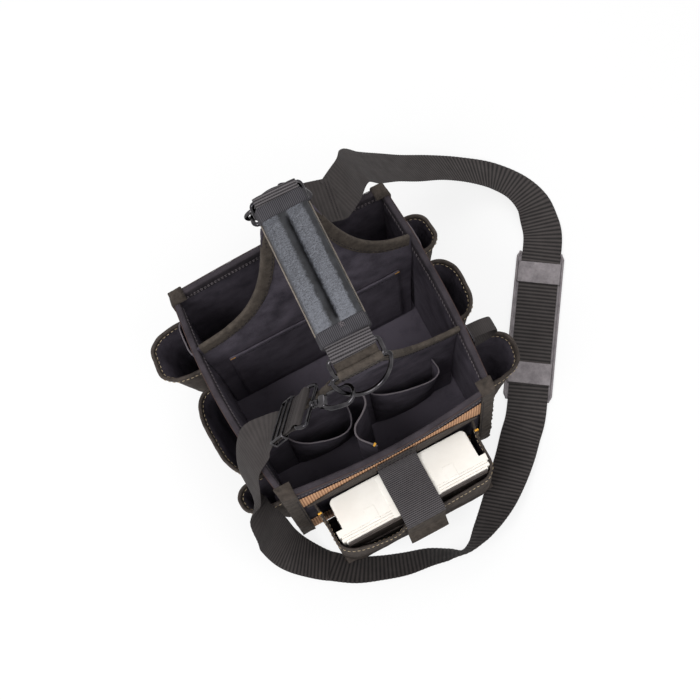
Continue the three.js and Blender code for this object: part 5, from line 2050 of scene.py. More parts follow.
HOOK_PLACES = {
    "front": (
        Frame(vec(-19.618, -95.674, 357.670), vec(-0.776, 0.30631, -0.55136),
              vec(-0.42633, -0.89896, 0.10059), vec(-0.46484, 0.31312, 0.82818)),
        Frame(vec(-68.118, -76.529, 323.210), vec(-0.776, 0.30631, -0.55136),
              vec(-0.56947, -0.71608, 0.40365), vec(-0.27118, 0.62722, 0.73011)),
    ),
    "rear": (
        Frame(vec(-17.445, 125.408, 372.398), vec(0.75071, 0, -0.66063),
              vec(-0.66047, 0.02214, -0.75053), vec(0.01463, 0.99975, 0.01662)),
        Frame(vec(29.475, 125.408, 331.109), vec(0.75071, 0, -0.66063),
              vec(0.15239, 0.97303, 0.17317), vec(0.64281, -0.23067, 0.73047)),
    ),
}
LOOPS = {
    "front": Frame(HOOK_PLACES["front"][1].origin, vec(-0.63878, 0.07643, -0.76559),
                   HOOK_PLACES["front"][1].y, vec(-0.51737, 0.69382, 0.50094)),
    "rear": Frame(HOOK_PLACES["rear"][1].origin, vec(0.88208, -0.05487, -0.46789),
                  HOOK_PLACES["rear"][1].y, vec(0.44577, -0.22405, 0.86665)),
}
PAD_CENTRE = vec(254, -40, 0)
PAD_ALONG = unit(vec(-0.572, -0.82, 0))
PAD_ACROSS = unit(vec(0.82, -0.572, 0))


class Lie(Enum):
    """What a station of the long strap rests on."""

    AIR = "air"
    FLOOR = "floor"
    PAD = "pad"


@dataclass
class ShoulderStrap(Assembly):
    """The long strap on the floor, its adjuster and its grip pad."""

    floor_clearance: float = 1.3
    pad_strap_z: float = 4.4
    eye_wire: float = 2.3
    fold_layer: float = 0.6 + 0.8
    fold_gap: float = 1.1
    fold_stations: tuple[float, ...] = (52, 40, 27, 14)
    seam_face: float = 1.9
    seam_half: float = 23.0
    seam_zigzag: float = 1.3
    seam_places: tuple[tuple[str, tuple[float, ...]], ...] = (
        ("front", (14.0, 18.0)), ("rear", (14.0, 18.0, 44.0, 48.0)),
    )
    frame_wire: float = 1.3
    frame_clear: float = 2.2 + 1.5
    frame_half: float = 25.9 + 1.2
    frame_span: Pair = (23.5, 44.5)
    frame_bar: float = 34.0
    pad_half: float = 100.0
    pad_narrow: float = 0.10
    pad_steps: int = 110
    pad_lump: float = 0.35
    pad_folds: Ripple = Ripple(171, 8, 40)
    band_lump: float = 0.3
    band_folds: Ripple = Ripple(180, 8, 30)
    band_spans: tuple[tuple[str, Pair], ...] = (("rear", (-85.5, -57.5)), ("front", (50.5, 78.5)))

    def build(self) -> None:
        """Makes the strap, the adjuster and the pad."""
        path, across = self.course()
        shape = Shape()
        shape.ribbon(Band(path, across, WEBBING - 0.3, STRAP_THICKNESS + 0.1, 4.9, 0.38, 13))
        self.put("long_strap", shape, [STRAP], ["shoulder_strap"])
        self.box_seams()
        self.adjuster()
        self.pad()

    def loop(self, name: str) -> np.ndarray:
        """Makes the fold of the strap round one eye.

        Args:
            name: Which end.

        Returns:
            Points from the free end to the running side.
        """
        turn, flat = self.eye_wire + self.fold_layer, self.fold_gap
        angles = np.linspace(math.pi / 2, -math.pi / 2, 13)
        arc = [(-math.cos(a) * turn, math.sin(a) * turn) for a in angles]
        upper = [*[(x, flat) for x in self.fold_stations], (9, flat * 1.5), (5, turn * 0.85)]
        profile = [*upper, *arc, *[(a, -r) for a, r in reversed(upper)]]
        return np.array([LOOPS[name].at(a, 0, r) for a, r in profile])

    def floor_height(self, tilt: float | np.ndarray) -> float | np.ndarray:
        """Gives the height of the strap's middle where its lower edge touches the floor."""
        return WEBBING / 2 * np.abs(tilt) + STRAP_THICKNESS / 2 + self.floor_clearance

    def station(self, lie: Lie, place: Sequence[float], across: Point) -> tuple[np.ndarray, np.ndarray]:
        """Places one station of the strap.

        Args:
            lie: What it rests on.
            place: Its middle, without the height where it lies on the floor, or its distance
                from the middle of the pad.
            across: Direction across the webbing.

        Returns:
            Its middle and its direction across.
        """
        if lie is Lie.PAD:
            return PAD_CENTRE + PAD_ALONG * place[0] + Z_AXIS * self.pad_strap_z, PAD_ACROSS
        side = unit(vec(*across))
        if lie is Lie.FLOOR:
            return vec(*place, self.floor_height(side[2])), side
        return vec(*place), side

    def stations(self) -> list[tuple[Lie, Sequence[float], Point]]:
        """Lists the stations of the strap between its two folds.

        Returns:
            What each rests on, its place and its direction across.
        """
        air, floor = Lie.AIR, Lie.FLOOR
        return [
            (air, (-115, -71.5, 270), (-0.38, -0.9, 0.2)), (air, (-131, -72, 260), (0, -1, 0)),
            (air, (-145, -77, 238), (0, -1, 0)), (air, (-154, -87, 210), (0, -0.97, -0.25)),
            (air, (-161, -102, 178), (-0.1, -0.9, -0.35)), (air, (-165, -129, 150), (-0.55, -0.8, -0.1)),
            (air, (-163, -141, 104), (-0.85, -0.45, 0.2)), (air, (-157, -156, 60), (-0.8, -0.52, 0.3)),
            (air, (-142, -173, 33), (-0.58, -0.68, 0.45)), (floor, (-121, -193), (-0.42, -0.66, 0.62)),
            (floor, (-95, -212), (-0.28, -0.66, 0.66)), (floor, (-68, -224), (-0.2, -0.64, 0.7)),
            (floor, (-39, -234), (-0.16, -0.62, 0.74)), (floor, (-10, -241), (-0.1, -0.55, 0.83)),
            (floor, (14, -250), (0, -0.42, 0.91)), (floor, (33, -256), (0.2, -0.25, 0.95)),
            (floor, (51, -252), (0.42, -0.22, 0.88)), (floor, (72, -240), (0.56, -0.36, 0.75)),
            (floor, (98, -222), (0.64, -0.52, 0.56)), (floor, (124, -200), (0.68, -0.64, 0.36)),
            (floor, (147, -179), (0.69, -0.68, 0.22)), (floor, (166, -159), (0.66, -0.74, 0.08)),
            *[(Lie.PAD, (distance,), (0, 0, 0)) for distance in (124, 60, 0, -60, -124)],
            (floor, (332, 84), (0.97, -0.15, -0.12)), (floor, (335, 106), (0.95, 0.1, -0.3)),
            (floor, (328, 134), (0.82, 0.4, -0.42)), (air, (308, 162, 17), (0.6, 0.65, -0.45)),
            (air, (276, 182, 34), (0.35, 0.8, -0.48)), (air, (238, 193, 64), (0.15, 0.87, -0.45)),
            (air, (200, 194, 104), (0.1, 0.88, -0.42)), (air, (168, 190, 152), (0.05, 0.92, -0.4)),
            (air, (141, 180, 203), (0.05, 0.94, -0.33)), (air, (120, 169, 254), (0, 0.97, -0.2)),
            (air, (102, 145, 287), (0.1, 0.98, 0.1)),
        ]

    def course(self) -> tuple[np.ndarray, np.ndarray]:
        """Gives the course of the whole strap, from one free end to the other.

        Returns:
            Its middle line and its directions across.
        """
        front, rear = self.loop("front"), self.loop("rear")[::-1]
        first, last = LOOPS["front"].y, LOOPS["rear"].y
        route = [(front[-1], first), *[self.station(*row) for row in self.stations()], (rear[0], last)]
        path = spline(np.array([point for point, _ in route]), 12)
        across = unit(spline(np.array([side for _, side in route]), 12, 0.0))
        path[:, 2] = np.maximum(path[:, 2], self.floor_height(across[:, 2]))
        sides = [for_each(front[:-1], first), across, for_each(rear[1:], last)]
        return np.concatenate([front[:-1], path, rear[1:]]), np.concatenate(sides)

    def box_seams(self) -> None:
        """Makes the stitches that hold each fold of the strap."""
        rows = []
        line = np.linspace(-self.seam_half, self.seam_half, 24)
        for name, places in self.seam_places:
            place = LOOPS[name]
            for along in places:
                for sign in (-1, 1):
                    edge = []
                    for k, y in enumerate(line):
                        edge.append(place.at(along + self.seam_zigzag * (k % 2), y, sign * self.seam_face))
                    rows.append(Seam(np.array(edge), for_each(edge, place.z * sign), 2.0, 0.7, 0.3))
        self.sew("strap_box_seams", rows, DARK_THREAD)

    def adjuster(self) -> None:
        """Makes the bent wire frame round the doubled webbing."""
        place = LOOPS["front"]
        shape = Shape()
        clear, half, (low, high) = self.frame_clear, self.frame_half, self.frame_span
        for start, sign in ((low, 1), (high, 1), (low, -1), (high, -1), (self.frame_bar, 1)):
            path = np.array([place.at(start, y, sign * clear) for y in np.linspace(-half, half, 24)])
            shape.tube(path, self.frame_wire, sides=12)
        for sign in (-1, 1):
            outline = rounded_outline((low, -clear), (high, clear), 1.4)
            closed = ring_path([place.at(x, sign * half, z) for x, z in outline], 1.2)
            shape.tube(closed, self.frame_wire, True, 12)
        self.put("adjuster_frame", shape, [NICKEL], ["strap_adjuster"], "adjuster")

    def pad(self) -> None:
        """Makes the rubber pad under the strap with its two bands."""
        place = Frame(PAD_CENTRE, PAD_ALONG, np.cross(Z_AXIS, PAD_ALONG), Z_AXIS)
        lip = [(-31, 1.0), (-31, 5.0), (-30.2, 6.0), (-28.9, 6.0), (-28.1, 5.0), (-28.0, 3.2)]
        bed = [(y, 3.0) for y in np.linspace(-26, 26, 14)]
        foot = [(30, 0.1), *[(y, 0.0) for y in np.linspace(26, -26, 10)], (-30, 0.1)]
        section = [*lip, *bed, *[(-y, z) for y, z in reversed(lip)], *foot]
        rings = []
        for x in np.linspace(-self.pad_half, self.pad_half, self.pad_steps):
            narrow = 1 - self.pad_narrow * float(ease(abs(x), self.pad_half - 8, self.pad_half))
            points = np.array([place.at(x, y * narrow, z) for y, z in section])
            lump = self.pad_lump * self.pad_folds.at(points) * (points[:, 2] > 2.0)
            rings.append(points + Z_AXIS * lump[:, None])
        shape = Shape()
        shape.loft(np.array(rings))
        pad = self.put("rubber_pad", shape, [RUBBER], ["shoulder_pad"], "pad", 55)
        for name, span in self.band_spans:
            self.pad_band(place, name, span)

    def pad_band(self, place: Frame, name: str, span: Pair) -> None:
        """Makes one band that holds the strap on the pad.

        Args:
            place: Frame of the pad.
            name: Which end of the pad it is at.
            span: Where it starts and ends along the pad.
        """
        outer = [(-27.8, 3.4), (-27.6, 6.0), (-26.8, 6.9), *[(y, 7.3) for y in np.linspace(-25, 25, 11)],
                 (26.8, 6.9), (27.6, 6.0), (27.8, 3.4)]
        inner = [(26.9, 3.4), (26.2, 5.3), *[(y, 5.6) for y in np.linspace(25, -25, 11)],
                 (-26.2, 5.3), (-26.9, 3.4)]
        rings = []
        for x in np.linspace(*span, 26):
            edge = min(1.0, min(x - span[0], span[1] - x) / 2)
            points = np.array([place.at(x, y, z) for y, z in [*outer, *inner]])
            lump = self.band_lump * self.band_folds.at(points[: len(outer)])
            points[: len(outer), 2] += lump - 0.5 * (1 - edge)
            rings.append(points)
        shape = Shape()
        shape.loft(np.array(rings))
        self.put(f"pad_band_{name}", shape, [RUBBER], (), "pad", 55)


@dataclass(frozen=True)
class Pouch:
    """Plan and height of one pocket, on a wall or on a divider.

    It runs half its width to each side of its middle and stands out by its heel at the bottom and
    by its depth at the mouth. Square is how boxy its plan is, flare how its mouth opens, sag how
    far the mouth hangs, fold how deep its folds are and skew how far its swell leans sideways.
    """

    name: str
    node: str
    wall: Side | Divider
    middle: float
    half: float
    mouth: float
    depth: float
    bottom: float = 16.0
    heel: float = 14.0
    square: float = 0.62
    thick: float = 2.0
    hem: float = 9.0
    hem_thick: float = 4.2
    flare: float = 3.0
    sag: float = 2.0
    fold: float = 1.3
    seed: int = 1
    turned: bool = False
    skew: float = 0.0
    belly: float = 2.0
    folds: Ripple = Ripple(0, 14, 60, (1, 1, 2.0))
    crease: float = 0.35
    creases: Ripple = Ripple(5, 6, 20)
    plan_steps: int = 73

    def place(self, along: np.ndarray, z: np.ndarray, out: np.ndarray) -> np.ndarray:
        """Finds points beside what the pocket is sewn to.

        Args:
            along: Place along the wall or the divider.
            z: Height.
            out: Distance out from it.

        Returns:
            The points.
        """
        if isinstance(self.wall, Divider):
            return self.wall.at(along, z, DIVIDER / 2 + out)
        return wall_at(self.wall, along, z, out)

    def power(self, value: np.ndarray) -> np.ndarray:
        """Makes a round plan boxier."""
        return np.sign(value) * np.abs(value) ** self.square

    def at(self, angle: np.ndarray, z: np.ndarray, out: float | np.ndarray = 0.0) -> np.ndarray:
        """Finds points of the pocket's outer face.

        Args:
            angle: Place round the plan, 0 to pi.
            z: Height.
            out: Distance out from that face.

        Returns:
            The points.
        """
        share = np.clip((z - self.bottom) / (self.mouth - self.bottom), 0, 1)
        swell = np.sin(angle)
        reach = mix(self.heel, self.depth, share) + self.flare * ease(share, 0.8, 1) * swell
        reach = reach + self.belly * np.sin(math.pi * share)
        lean = self.skew * np.clip(swell, 0, 1) ** 2 * share
        along = self.middle + lean + self.power(np.cos(angle)) * (self.half + out)
        return self.place(along, z, GAP + self.power(swell) * (reach + out))

    def grid(self, low: float, high: float, rows: int, out: float) -> np.ndarray:
        """Makes the folded cloth between two heights.

        Args:
            low: Lower height.
            high: Upper height.
            rows: Rows between them.
            out: Distance out from the outer face.

        Returns:
            Points by row and column.
        """
        even = np.linspace(0, math.pi, 241)
        at = lengths(self.at(even, np.full(241, self.mouth)))
        angle = np.interp(np.linspace(0, at[-1], self.plan_steps), at, even)
        if self.turned:
            angle = angle[::-1]
        turn, height = np.meshgrid(angle, np.linspace(low, high, rows))
        share = (height - self.bottom) / (self.mouth - self.bottom)
        height = height - self.sag * np.sin(turn) ** 2 * np.clip(share, 0, 1) ** 3
        plain = self.at(turn, height)
        fade = np.sin(turn) ** 0.5 * ease(share, 0.0, 0.25)
        push = self.fold * self.folds.seeded(self.seed).at(plain)
        push = push + self.crease * self.creases.seeded(self.seed).at(plain)
        return self.at(turn, height, out + push * fade)

    def base(self) -> np.ndarray:
        """Makes the bottom of the pocket.

        Returns:
            Points by row and column, from the wall outwards.
        """
        angle = np.linspace(0, math.pi, 41)
        z = np.full(41, self.bottom + 1)
        rim = self.at(angle, z, -self.thick)
        along = self.middle + np.cos(angle) * (self.half - self.thick)
        foot = self.place(along, z, np.full(41, GAP + 0.9))
        share = np.linspace(0, 1, 5)[:, None, None]
        return foot[None] + (rim - foot)[None] * share


@dataclass
class Pockets(Assembly):
    """All open pockets, outside and inside, with hems, linings and stitches."""

    hem_lap: float = 3.0
    hem_ends: Pair = (0.62, 0.8)
    rim_radius: float = 0.8
    base_thickness: float = 1.2
    flat_half: float = 112.0
    flat_face: float = 2.7
    flat_fold: float = 0.6
    flat_folds: Ripple = Ripple(361, 20, 70)
    flat_side_fade: Pair = (2, 25)
    flat_foot_fade: Pair = (20, 60)
    flat_thickness: float = 1.5
    flat_hem: float = 2.2
    partition_plan: tuple[Point, ...] = (
        (4, -62, 0), (1, -77, 0), (-22, -96, 0), (-24, -108, 0), (-10, -126, 0),
    )
    partition_top: float = 204.6
    partition_fold: float = 1.5
    partition_folds: Ripple = Ripple(371, 18, 60, (1, 1, 1.8))
    partition_thickness: float = 1.5
    partition_cord: float = 1.15
    tack_places: Pair = (-108.5, 109.5)

    def build(self) -> None:
        """Makes every pocket."""
        for pouch in self.outside():
            self.pouch(pouch, SUEDE, True)
        for pouch in self.inside():
            self.pouch(pouch, INSIDE, False)
        self.flat_pocket()
        self.partition()
        tacks = [(REAR_DIVIDER.at(x, 188, -4.2), X_AXIS, -Y_AXIS) for x in self.tack_places]
        self.bartacks("divider_bartacks", tacks, 5.5)

    @staticmethod
    def outside() -> list[Pouch]:
        """Lists the pockets on the side walls.

        Returns:
            Their plans.
        """
        rows = [
            ("left_rear", Side.LEFT, 88, 33, 190, 52), ("left_middle", Side.LEFT, -14, 59, 150, 37),
            ("left_front", Side.LEFT, -95, 20, 130, 46), ("right_rear", Side.RIGHT, 83, 25, 190, 33),
            ("right_middle", Side.RIGHT, 4, 40, 190, 34), ("right_front", Side.RIGHT, -84, 30, 150, 60),
        ]
        made = []
        for number, (name, side, middle, half, mouth, depth) in enumerate(rows):
            made.append(Pouch(
                f"{name}_pouch", f"{name}_pocket", side, middle, half, mouth, depth,
                seed=200 + number * 10, turned=side is Side.LEFT,
            ))
        return made

    @staticmethod
    def inside() -> list[Pouch]:
        """Lists the tool sleeves and the pockets on the front divider.

        Returns:
            Their plans.
        """
        made = []
        for number, (name, side, middle) in enumerate((("left", Side.LEFT, 91), ("right", Side.RIGHT, 76))):
            made.append(Pouch(
                f"{name}_sleeve", f"{name}_sleeve_pocket", side, middle, half=22, mouth=212, depth=9,
                bottom=110, heel=4, square=0.5, thick=1.5, hem=6.0, hem_thick=2.4, flare=0.0, sag=1.0,
                fold=0.4, seed=300 + number * 10, turned=side is Side.LEFT,
            ))
        pair = (("left", -56, 40, 31, 18), ("right", 56, 42, 23, 26))
        for number, (name, middle, half, depth, skew) in enumerate(pair):
            made.append(Pouch(
                f"inner_pouch_{name}", f"front_inner_pocket_{name}", FRONT_DIVIDER, middle, half,
                mouth=168, depth=depth, bottom=20, heel=8, square=1.05, thick=1.7, hem=3.4, hem_thick=2.1,
                flare=0.0, sag=1.5, fold=0.9, seed=330 + number * 10, skew=skew,
            ))
        return made

    def pouch(self, pouch: Pouch, finish: Finish, stitched: bool) -> None:
        """Makes one pocket.

        Args:
            pouch: Its plan.
            finish: Finish of its outer face and hem.
            stitched: Whether its hem has pale stitches.
        """
        shape = Shape()
        low, within = pouch.mouth - pouch.hem, -pouch.thick / 2
        cloth = pouch.grid(pouch.bottom, low + self.hem_lap, 40, within)
        shape.sheet(cloth, pouch.thick - 0.2, marks=(0, 1), round_edge=0.2)
        hem = pouch.grid(low, pouch.mouth - 1.2, 8, within)
        thick = np.full(hem.shape[:2], pouch.hem_thick)
        thick[0] *= self.hem_ends[0]
        thick[-1] *= self.hem_ends[1]
        shape.sheet(hem, thick, round_edge=0.3)
        self.put(pouch.name, shape, [finish, INSIDE], [pouch.node], sharp=60)
        bottom = Shape()
        bottom.sheet(pouch.base(), self.base_thickness, round_edge=0.3)
        self.put(f"{pouch.name}_bottom", bottom, [INSIDE])
        if stitched:
            rows = []
            for sign in (-1, 1):
                out = within + sign * pouch.hem_thick / 2
                line = pouch.grid(low + 1.6, low + 2.6, 3, out)[1]
                near = pouch.grid(low + 1.6, low + 2.6, 3, out + sign)[1]
                rows.append(Seam(line[3:-3], unit(near - line)[3:-3], dash=3.6, space=2.1, radius=0.42))
            self.sew(f"{pouch.name}_stitches", rows, CREAM_THREAD)
            return
        rim = Shape()
        edge = pouch.grid(pouch.mouth - 1.4, pouch.mouth - 0.8, 2, within)[1]
        rim.tube(edge[1:-1], self.rim_radius, sides=8)
        self.put(f"{pouch.name}_rim", rim, [GREY_THREAD])

    def flat_pocket(self) -> None:
        """Makes the flat pocket on the front face of the rear divider."""
        half, face = self.flat_half, self.flat_face
        x = np.linspace(-half, half, 61)
        z = np.concatenate([np.linspace(20, 178, 34), np.linspace(180, 190, 6)])
        across, height = np.meshgrid(x, z)
        plain = REAR_DIVIDER.at(across, height, -2.6)
        fade = ease(half - np.abs(across), *self.flat_side_fade) * ease(height, *self.flat_foot_fade)
        fold = self.flat_fold * (1 + self.flat_folds.at(plain)) * fade
        cloth = REAR_DIVIDER.at(across, height, -face - fold)
        shape = Shape()
        shape.sheet(cloth, self.flat_thickness, round_edge=0.4)
        hem = REAR_DIVIDER.at(*np.meshgrid(x, np.linspace(181, 189.2, 6)), -3.6)
        shape.sheet(hem[:, ::-1], self.flat_hem, round_edge=0.4)
        self.put("flat_pouch", shape, [INSIDE], ["rear_divider_pocket"], sharp=60)
        line = REAR_DIVIDER.at(np.linspace(-half + 4, half - 4, 60), 182.5, -4.8)
        self.sew("flat_pouch_stitches", [Seam(line, for_each(line, -Y_AXIS))], DARK_THREAD)

    def partition(self) -> None:
        """Makes the soft partition between the front divider and the front wall."""
        plan = respaced(spline(np.array(self.partition_plan, float), 8), 1.6)[0]
        side = np.cross(tangents(plan), Z_AXIS)
        z = np.linspace(BASE + GAP, self.partition_top, 44)
        share = np.linspace(0, 1, len(plan))
        fade = np.sin(math.pi * share)[None, :] * ease(z, 10, 80)[:, None]
        grid = plan[None] + Z_AXIS * z[:, None, None]
        push = self.partition_fold * self.partition_folds.at(grid) * fade
        grid = grid + side[None] * push[..., None]
        shape = Shape()
        shape.sheet(grid, self.partition_thickness, round_edge=0.4)
        self.put("partition_cloth", shape, [INSIDE], ["front_partition"])
        piping = Shape()
        piping.tube(grid[-1] + Z_AXIS * 0.2, self.partition_cord, sides=8)
        self.put("partition_piping", piping, [GREY_THREAD])
        tack = (grid[-1][-3] + Z_AXIS * 1.4, unit(side[-1]), Z_AXIS)
        self.bartacks("partition_bartack", [tack], 3.5)


@dataclass
class PartsTray(Assembly):
    """The parts tray on edge in its front pocket, and the strap that closes over it.

    Distances named rear, seam and front lie before the middle of the carrier.
    """

    middle: float = 2.0
    rear: float = 142.2
    seam: float = 179.7
    front: float = 200.0
    low: float = 27.0
    top: float = 140.0
    slack: float = 9.0
    margin: float = 2.0
    box_half: float = 90.0
    step_half: Pair = (-30, 31)
    rail_x: float = 88.6
    rail_half: Pair = (2.1, 1.2)
    rail_span: Pair = (40, 128)
    lid_slabs: tuple[tuple[float, float, float, Pair], ...] = (
        (98.5, 179.72, 188.0, (0.2, 1.0)),
        (96.0, 187.8, 190.2, (0.3, 0.3)),
        (97.0, 190.0, 194.2, (1.0, 1.0)),
        (93.0, 194.0, 197.2, (0.6, 1.0)),
    )
    panel_half: float = 91.5
    panel_rim_x: float = 49.0
    panel_rim_half: float = 43.0
    panel_rim_height: float = 48.0
    panel_rim_wire: float = 0.8
    latch_x: float = 52.0
    pocket_half: float = 102.8
    pocket_low: float = 22.0
    pocket_mouth: float = 138.0
    pocket_lap: float = 26.0
    pocket_bends: Pair = (24.0, 20.0)
    pocket_dip: float = 7.0
    pocket_belly: float = 6.5
    pocket_fold: float = 1.8
    pocket_folds: Ripple = Ripple(401, 22, 70, (1, 1, 1.5))
    pocket_crease: float = 0.35
    pocket_creases: Ripple = Ripple(405, 7, 22)
    pocket_front_span: Pair = (185, 208)
    pocket_side_fold: float = 0.3
    hem_end: float = 0.7
    floor_span: Pair = (-100, 102)
    floor_height: float = 25.4
    floor_thickness: float = 2.4
    pocket_cloth: float = 1.9
    hem_height: float = 10.0
    hem_thickness: float = 2.8
    slack_x: tuple[float, ...] = (-90, -75, -54, -30, -20, 30, 58, 91)
    slack_out: tuple[float, ...] = (-2, 1, 5, 5, 0, -1, -2, -3)
    strap_x: float = 4.0
    patch_half: float = 22.0
    patch_span: Pair = (95, 128)
    tongue_split: float = 122.0
    tongue_keep: float = 0.05

    def build(self) -> None:
        """Makes the tray, its pocket and its strap."""
        self.box()
        self.lid()
        self.latches()
        self.pocket()
        self.root()
        self.strap()

    @property
    def panel(self) -> float:
        """How far the outer face of the pocket lies before the middle of the carrier."""
        return self.front + self.slack + self.margin

    @staticmethod
    def upright(x: float, z: float = 0.0) -> Frame:
        """Gives a frame along the carrier's own axes, with its origin on the middle plane."""
        return Frame(vec(x, 0, z), X_AXIS, Y_AXIS, Z_AXIS)

    def slab(
        self,
        shape: Shape,
        half: float,
        near: float,
        far: float,
        corners: Pair,
        mark: int = 0,
    ) -> None:
        """Adds a slab that stands on edge, with rounded corners and softened rims.

        Args:
            shape: Shape that it is added to.
            half: Half its width.
            near: Distance of its near face in front of the origin.
            far: Distance of its far face.
            corners: Corner radii of its near and its far side.
            mark: Which of the piece's finishes it has.
        """
        low, top = self.low, self.top
        foot = [(low, 1.6), (low + 0.5, 0.7), (low + 1.6, 0)]
        head = [(top - 1.6, 0), (top - 0.5, 0.5), (top, 1.5)]
        quarters = ((1, -1, corners[1]), (1, 1, corners[0]), (-1, 1, corners[0]), (-1, -1, corners[1]))
        rings = []
        for z, cut in (*foot, *[(height, 0) for height in np.linspace(32, 134, 12)], *head):
            outline = []
            for turn, (sx, sy, radius) in enumerate(quarters):
                x = self.middle + sx * (half - radius)
                y = (-near if sy > 0 else -far) - sy * radius
                reach = max(radius - cut, 0.2)
                for step in np.linspace(0, math.pi / 2, 7):
                    angle = (turn - 1) * math.pi / 2 + step
                    outline.append((x + math.cos(angle) * reach, y + math.sin(angle) * reach, z))
            rings.append(outline)
        shape.loft(np.array(rings), mark=mark)

    def ledge(self, shape: Shape, front: float, rear: float) -> None:
        """Adds the low step in the top of the tray, under its strap."""
        (left, right), top = self.step_half, self.top
        shape.block(self.upright(self.middle), (left, -front, top - 1), (right, -rear, top + 0.5), 0.4)

    def box(self) -> None:
        """Makes the body of the tray with the step under its strap."""
        shape = Shape()
        self.slab(shape, self.box_half, self.rear, self.seam, (6.5, 0.2))
        self.ledge(shape, self.seam - 1.5, self.rear + 2)
        (half_x, half_y), (low, high) = self.rail_half, self.rail_span
        for x in (-self.rail_x, self.rail_x):
            for y in (-158.0, -166.0):
                corners = (x - half_x, y - half_y, low), (x + half_x, y + half_y, high)
                shape.block(self.upright(self.middle), *corners, 0.6)
        self.put("tray_box", shape, [TRAY], ["tray_body"], "tray", 35)

    def lid(self) -> None:
        """Makes the lid, a little wider than the body, with its ribbed face."""
        shape = Shape()
        for half, near, far, corners in self.lid_slabs:
            self.slab(shape, half, near, far, corners)
        self.ledge(shape, self.front - 2.4, self.seam + 1.6)
        reach, tall = self.panel_rim_half, self.panel_rim_height
        for x in (-self.panel_rim_x, self.panel_rim_x):
            for low in (32.0, 86.0):
                rim = rounded_outline((x - reach, low), (x + reach, low + tall), 6)
                path = [(self.middle + px, -self.front + 0.45, pz) for px, pz in rim]
                shape.tube(ring_path(path, 3.0), self.panel_rim_wire, True, 8, 1)
        # the front panel, like the rims above, takes the dark finish (mark 1)
        self.slab(shape, self.panel_half, self.front - 2.9, self.front - 0.4, (0.4, 1.2), 1)
        self.put("tray_cover", shape, [TRAY, DARK_PANEL], ["tray_lid"], "tray", 35)

    def latches(self) -> None:
        """Makes the two snap latches over the joint of lid and body."""
        seam = -self.seam
        for sign, name in ((-1, "left"), (1, "right")):
            place = self.upright(self.middle + sign * self.latch_x, self.top + GAP)
            shape = Shape()
            shape.block(place, (-7, seam - 9, 0), (7, seam + 8, 0.4), 0.2)
            shape.block(place, (-5.4, seam - 8.4, 0.3), (5.4, seam - 6.6, 0.7), 0.2)
            self.put(f"tray_catch_{name}", shape, [TRAY], [f"tray_latch_{name}"], "tray", 35)

    def outline(self) -> np.ndarray:
        """Gives the plan of the outer face of the tray's pocket.

        Returns:
            Points of the plan, from the left to the right.
        """
        half, front, back = self.pocket_half, self.panel, BODY_DEPTH / 2 + 2.1
        points = [(-half - 2.5, -back), (-half, -back - self.pocket_lap)]
        for sign, radius in zip((-1, 1), self.pocket_bends):
            for angle in np.linspace(0, math.pi / 2, 9)[::-sign]:
                reach = half - radius * (1 - math.cos(angle))
                points.append((sign * reach, -front + radius * (1 - math.sin(angle))))
        points += [(half, -back - self.pocket_lap), (half + 4, -back)]
        flat = np.array([(self.middle - 1.2 + x, y, 0.0) for x, y in points])
        return respaced(flat, 3.2)[0]

    def skirt(self, low: float, high: float, rows: int, out: float) -> np.ndarray:
        """Makes the slack cloth of the pocket between two heights.

        Args:
            low: Lower height.
            high: Upper height.
            rows: Rows between them.
            out: Distance out from its outer face.

        Returns:
            Points by row and column.
        """
        plan = self.outline()
        normal = np.cross(tangents(plan), Z_AXIS)
        z = np.linspace(low, high, rows)
        grid = plan[None] + Z_AXIS * z[:, None, None]
        across = grid[..., 0].copy()
        tall = np.clip((z - self.pocket_low) / (self.pocket_mouth - self.pocket_low), 0, 1)[:, None]
        front = ease(-grid[..., 1], *self.pocket_front_span)
        dip = self.pocket_dip * front * (0.55 + 0.45 * np.cos((across - 6) / 60)) * tall**3
        slack = np.interp(across, self.slack_x, self.slack_out)
        grid[..., 1] -= front * (slack * tall**2 - self.pocket_belly * (1 - tall) ** 2)
        grid[..., 2] -= dip
        height = grid[..., 2]
        under_patch = ease(30 - np.abs(across - self.strap_x), 0, 8)
        calm = 1 - under_patch * ease(height, 84, 94) * ease(140 - height, 6, 14)
        fold = (self.pocket_fold * self.pocket_folds.at(grid) - 1.0) * ease(tall, 0.0, 0.2) * calm
        crease = self.pocket_crease * self.pocket_creases.at(grid) * calm
        amount = fold * mix(self.pocket_side_fold, 1.0, front) + crease
        return grid + normal[None] * (out + amount)[..., None]

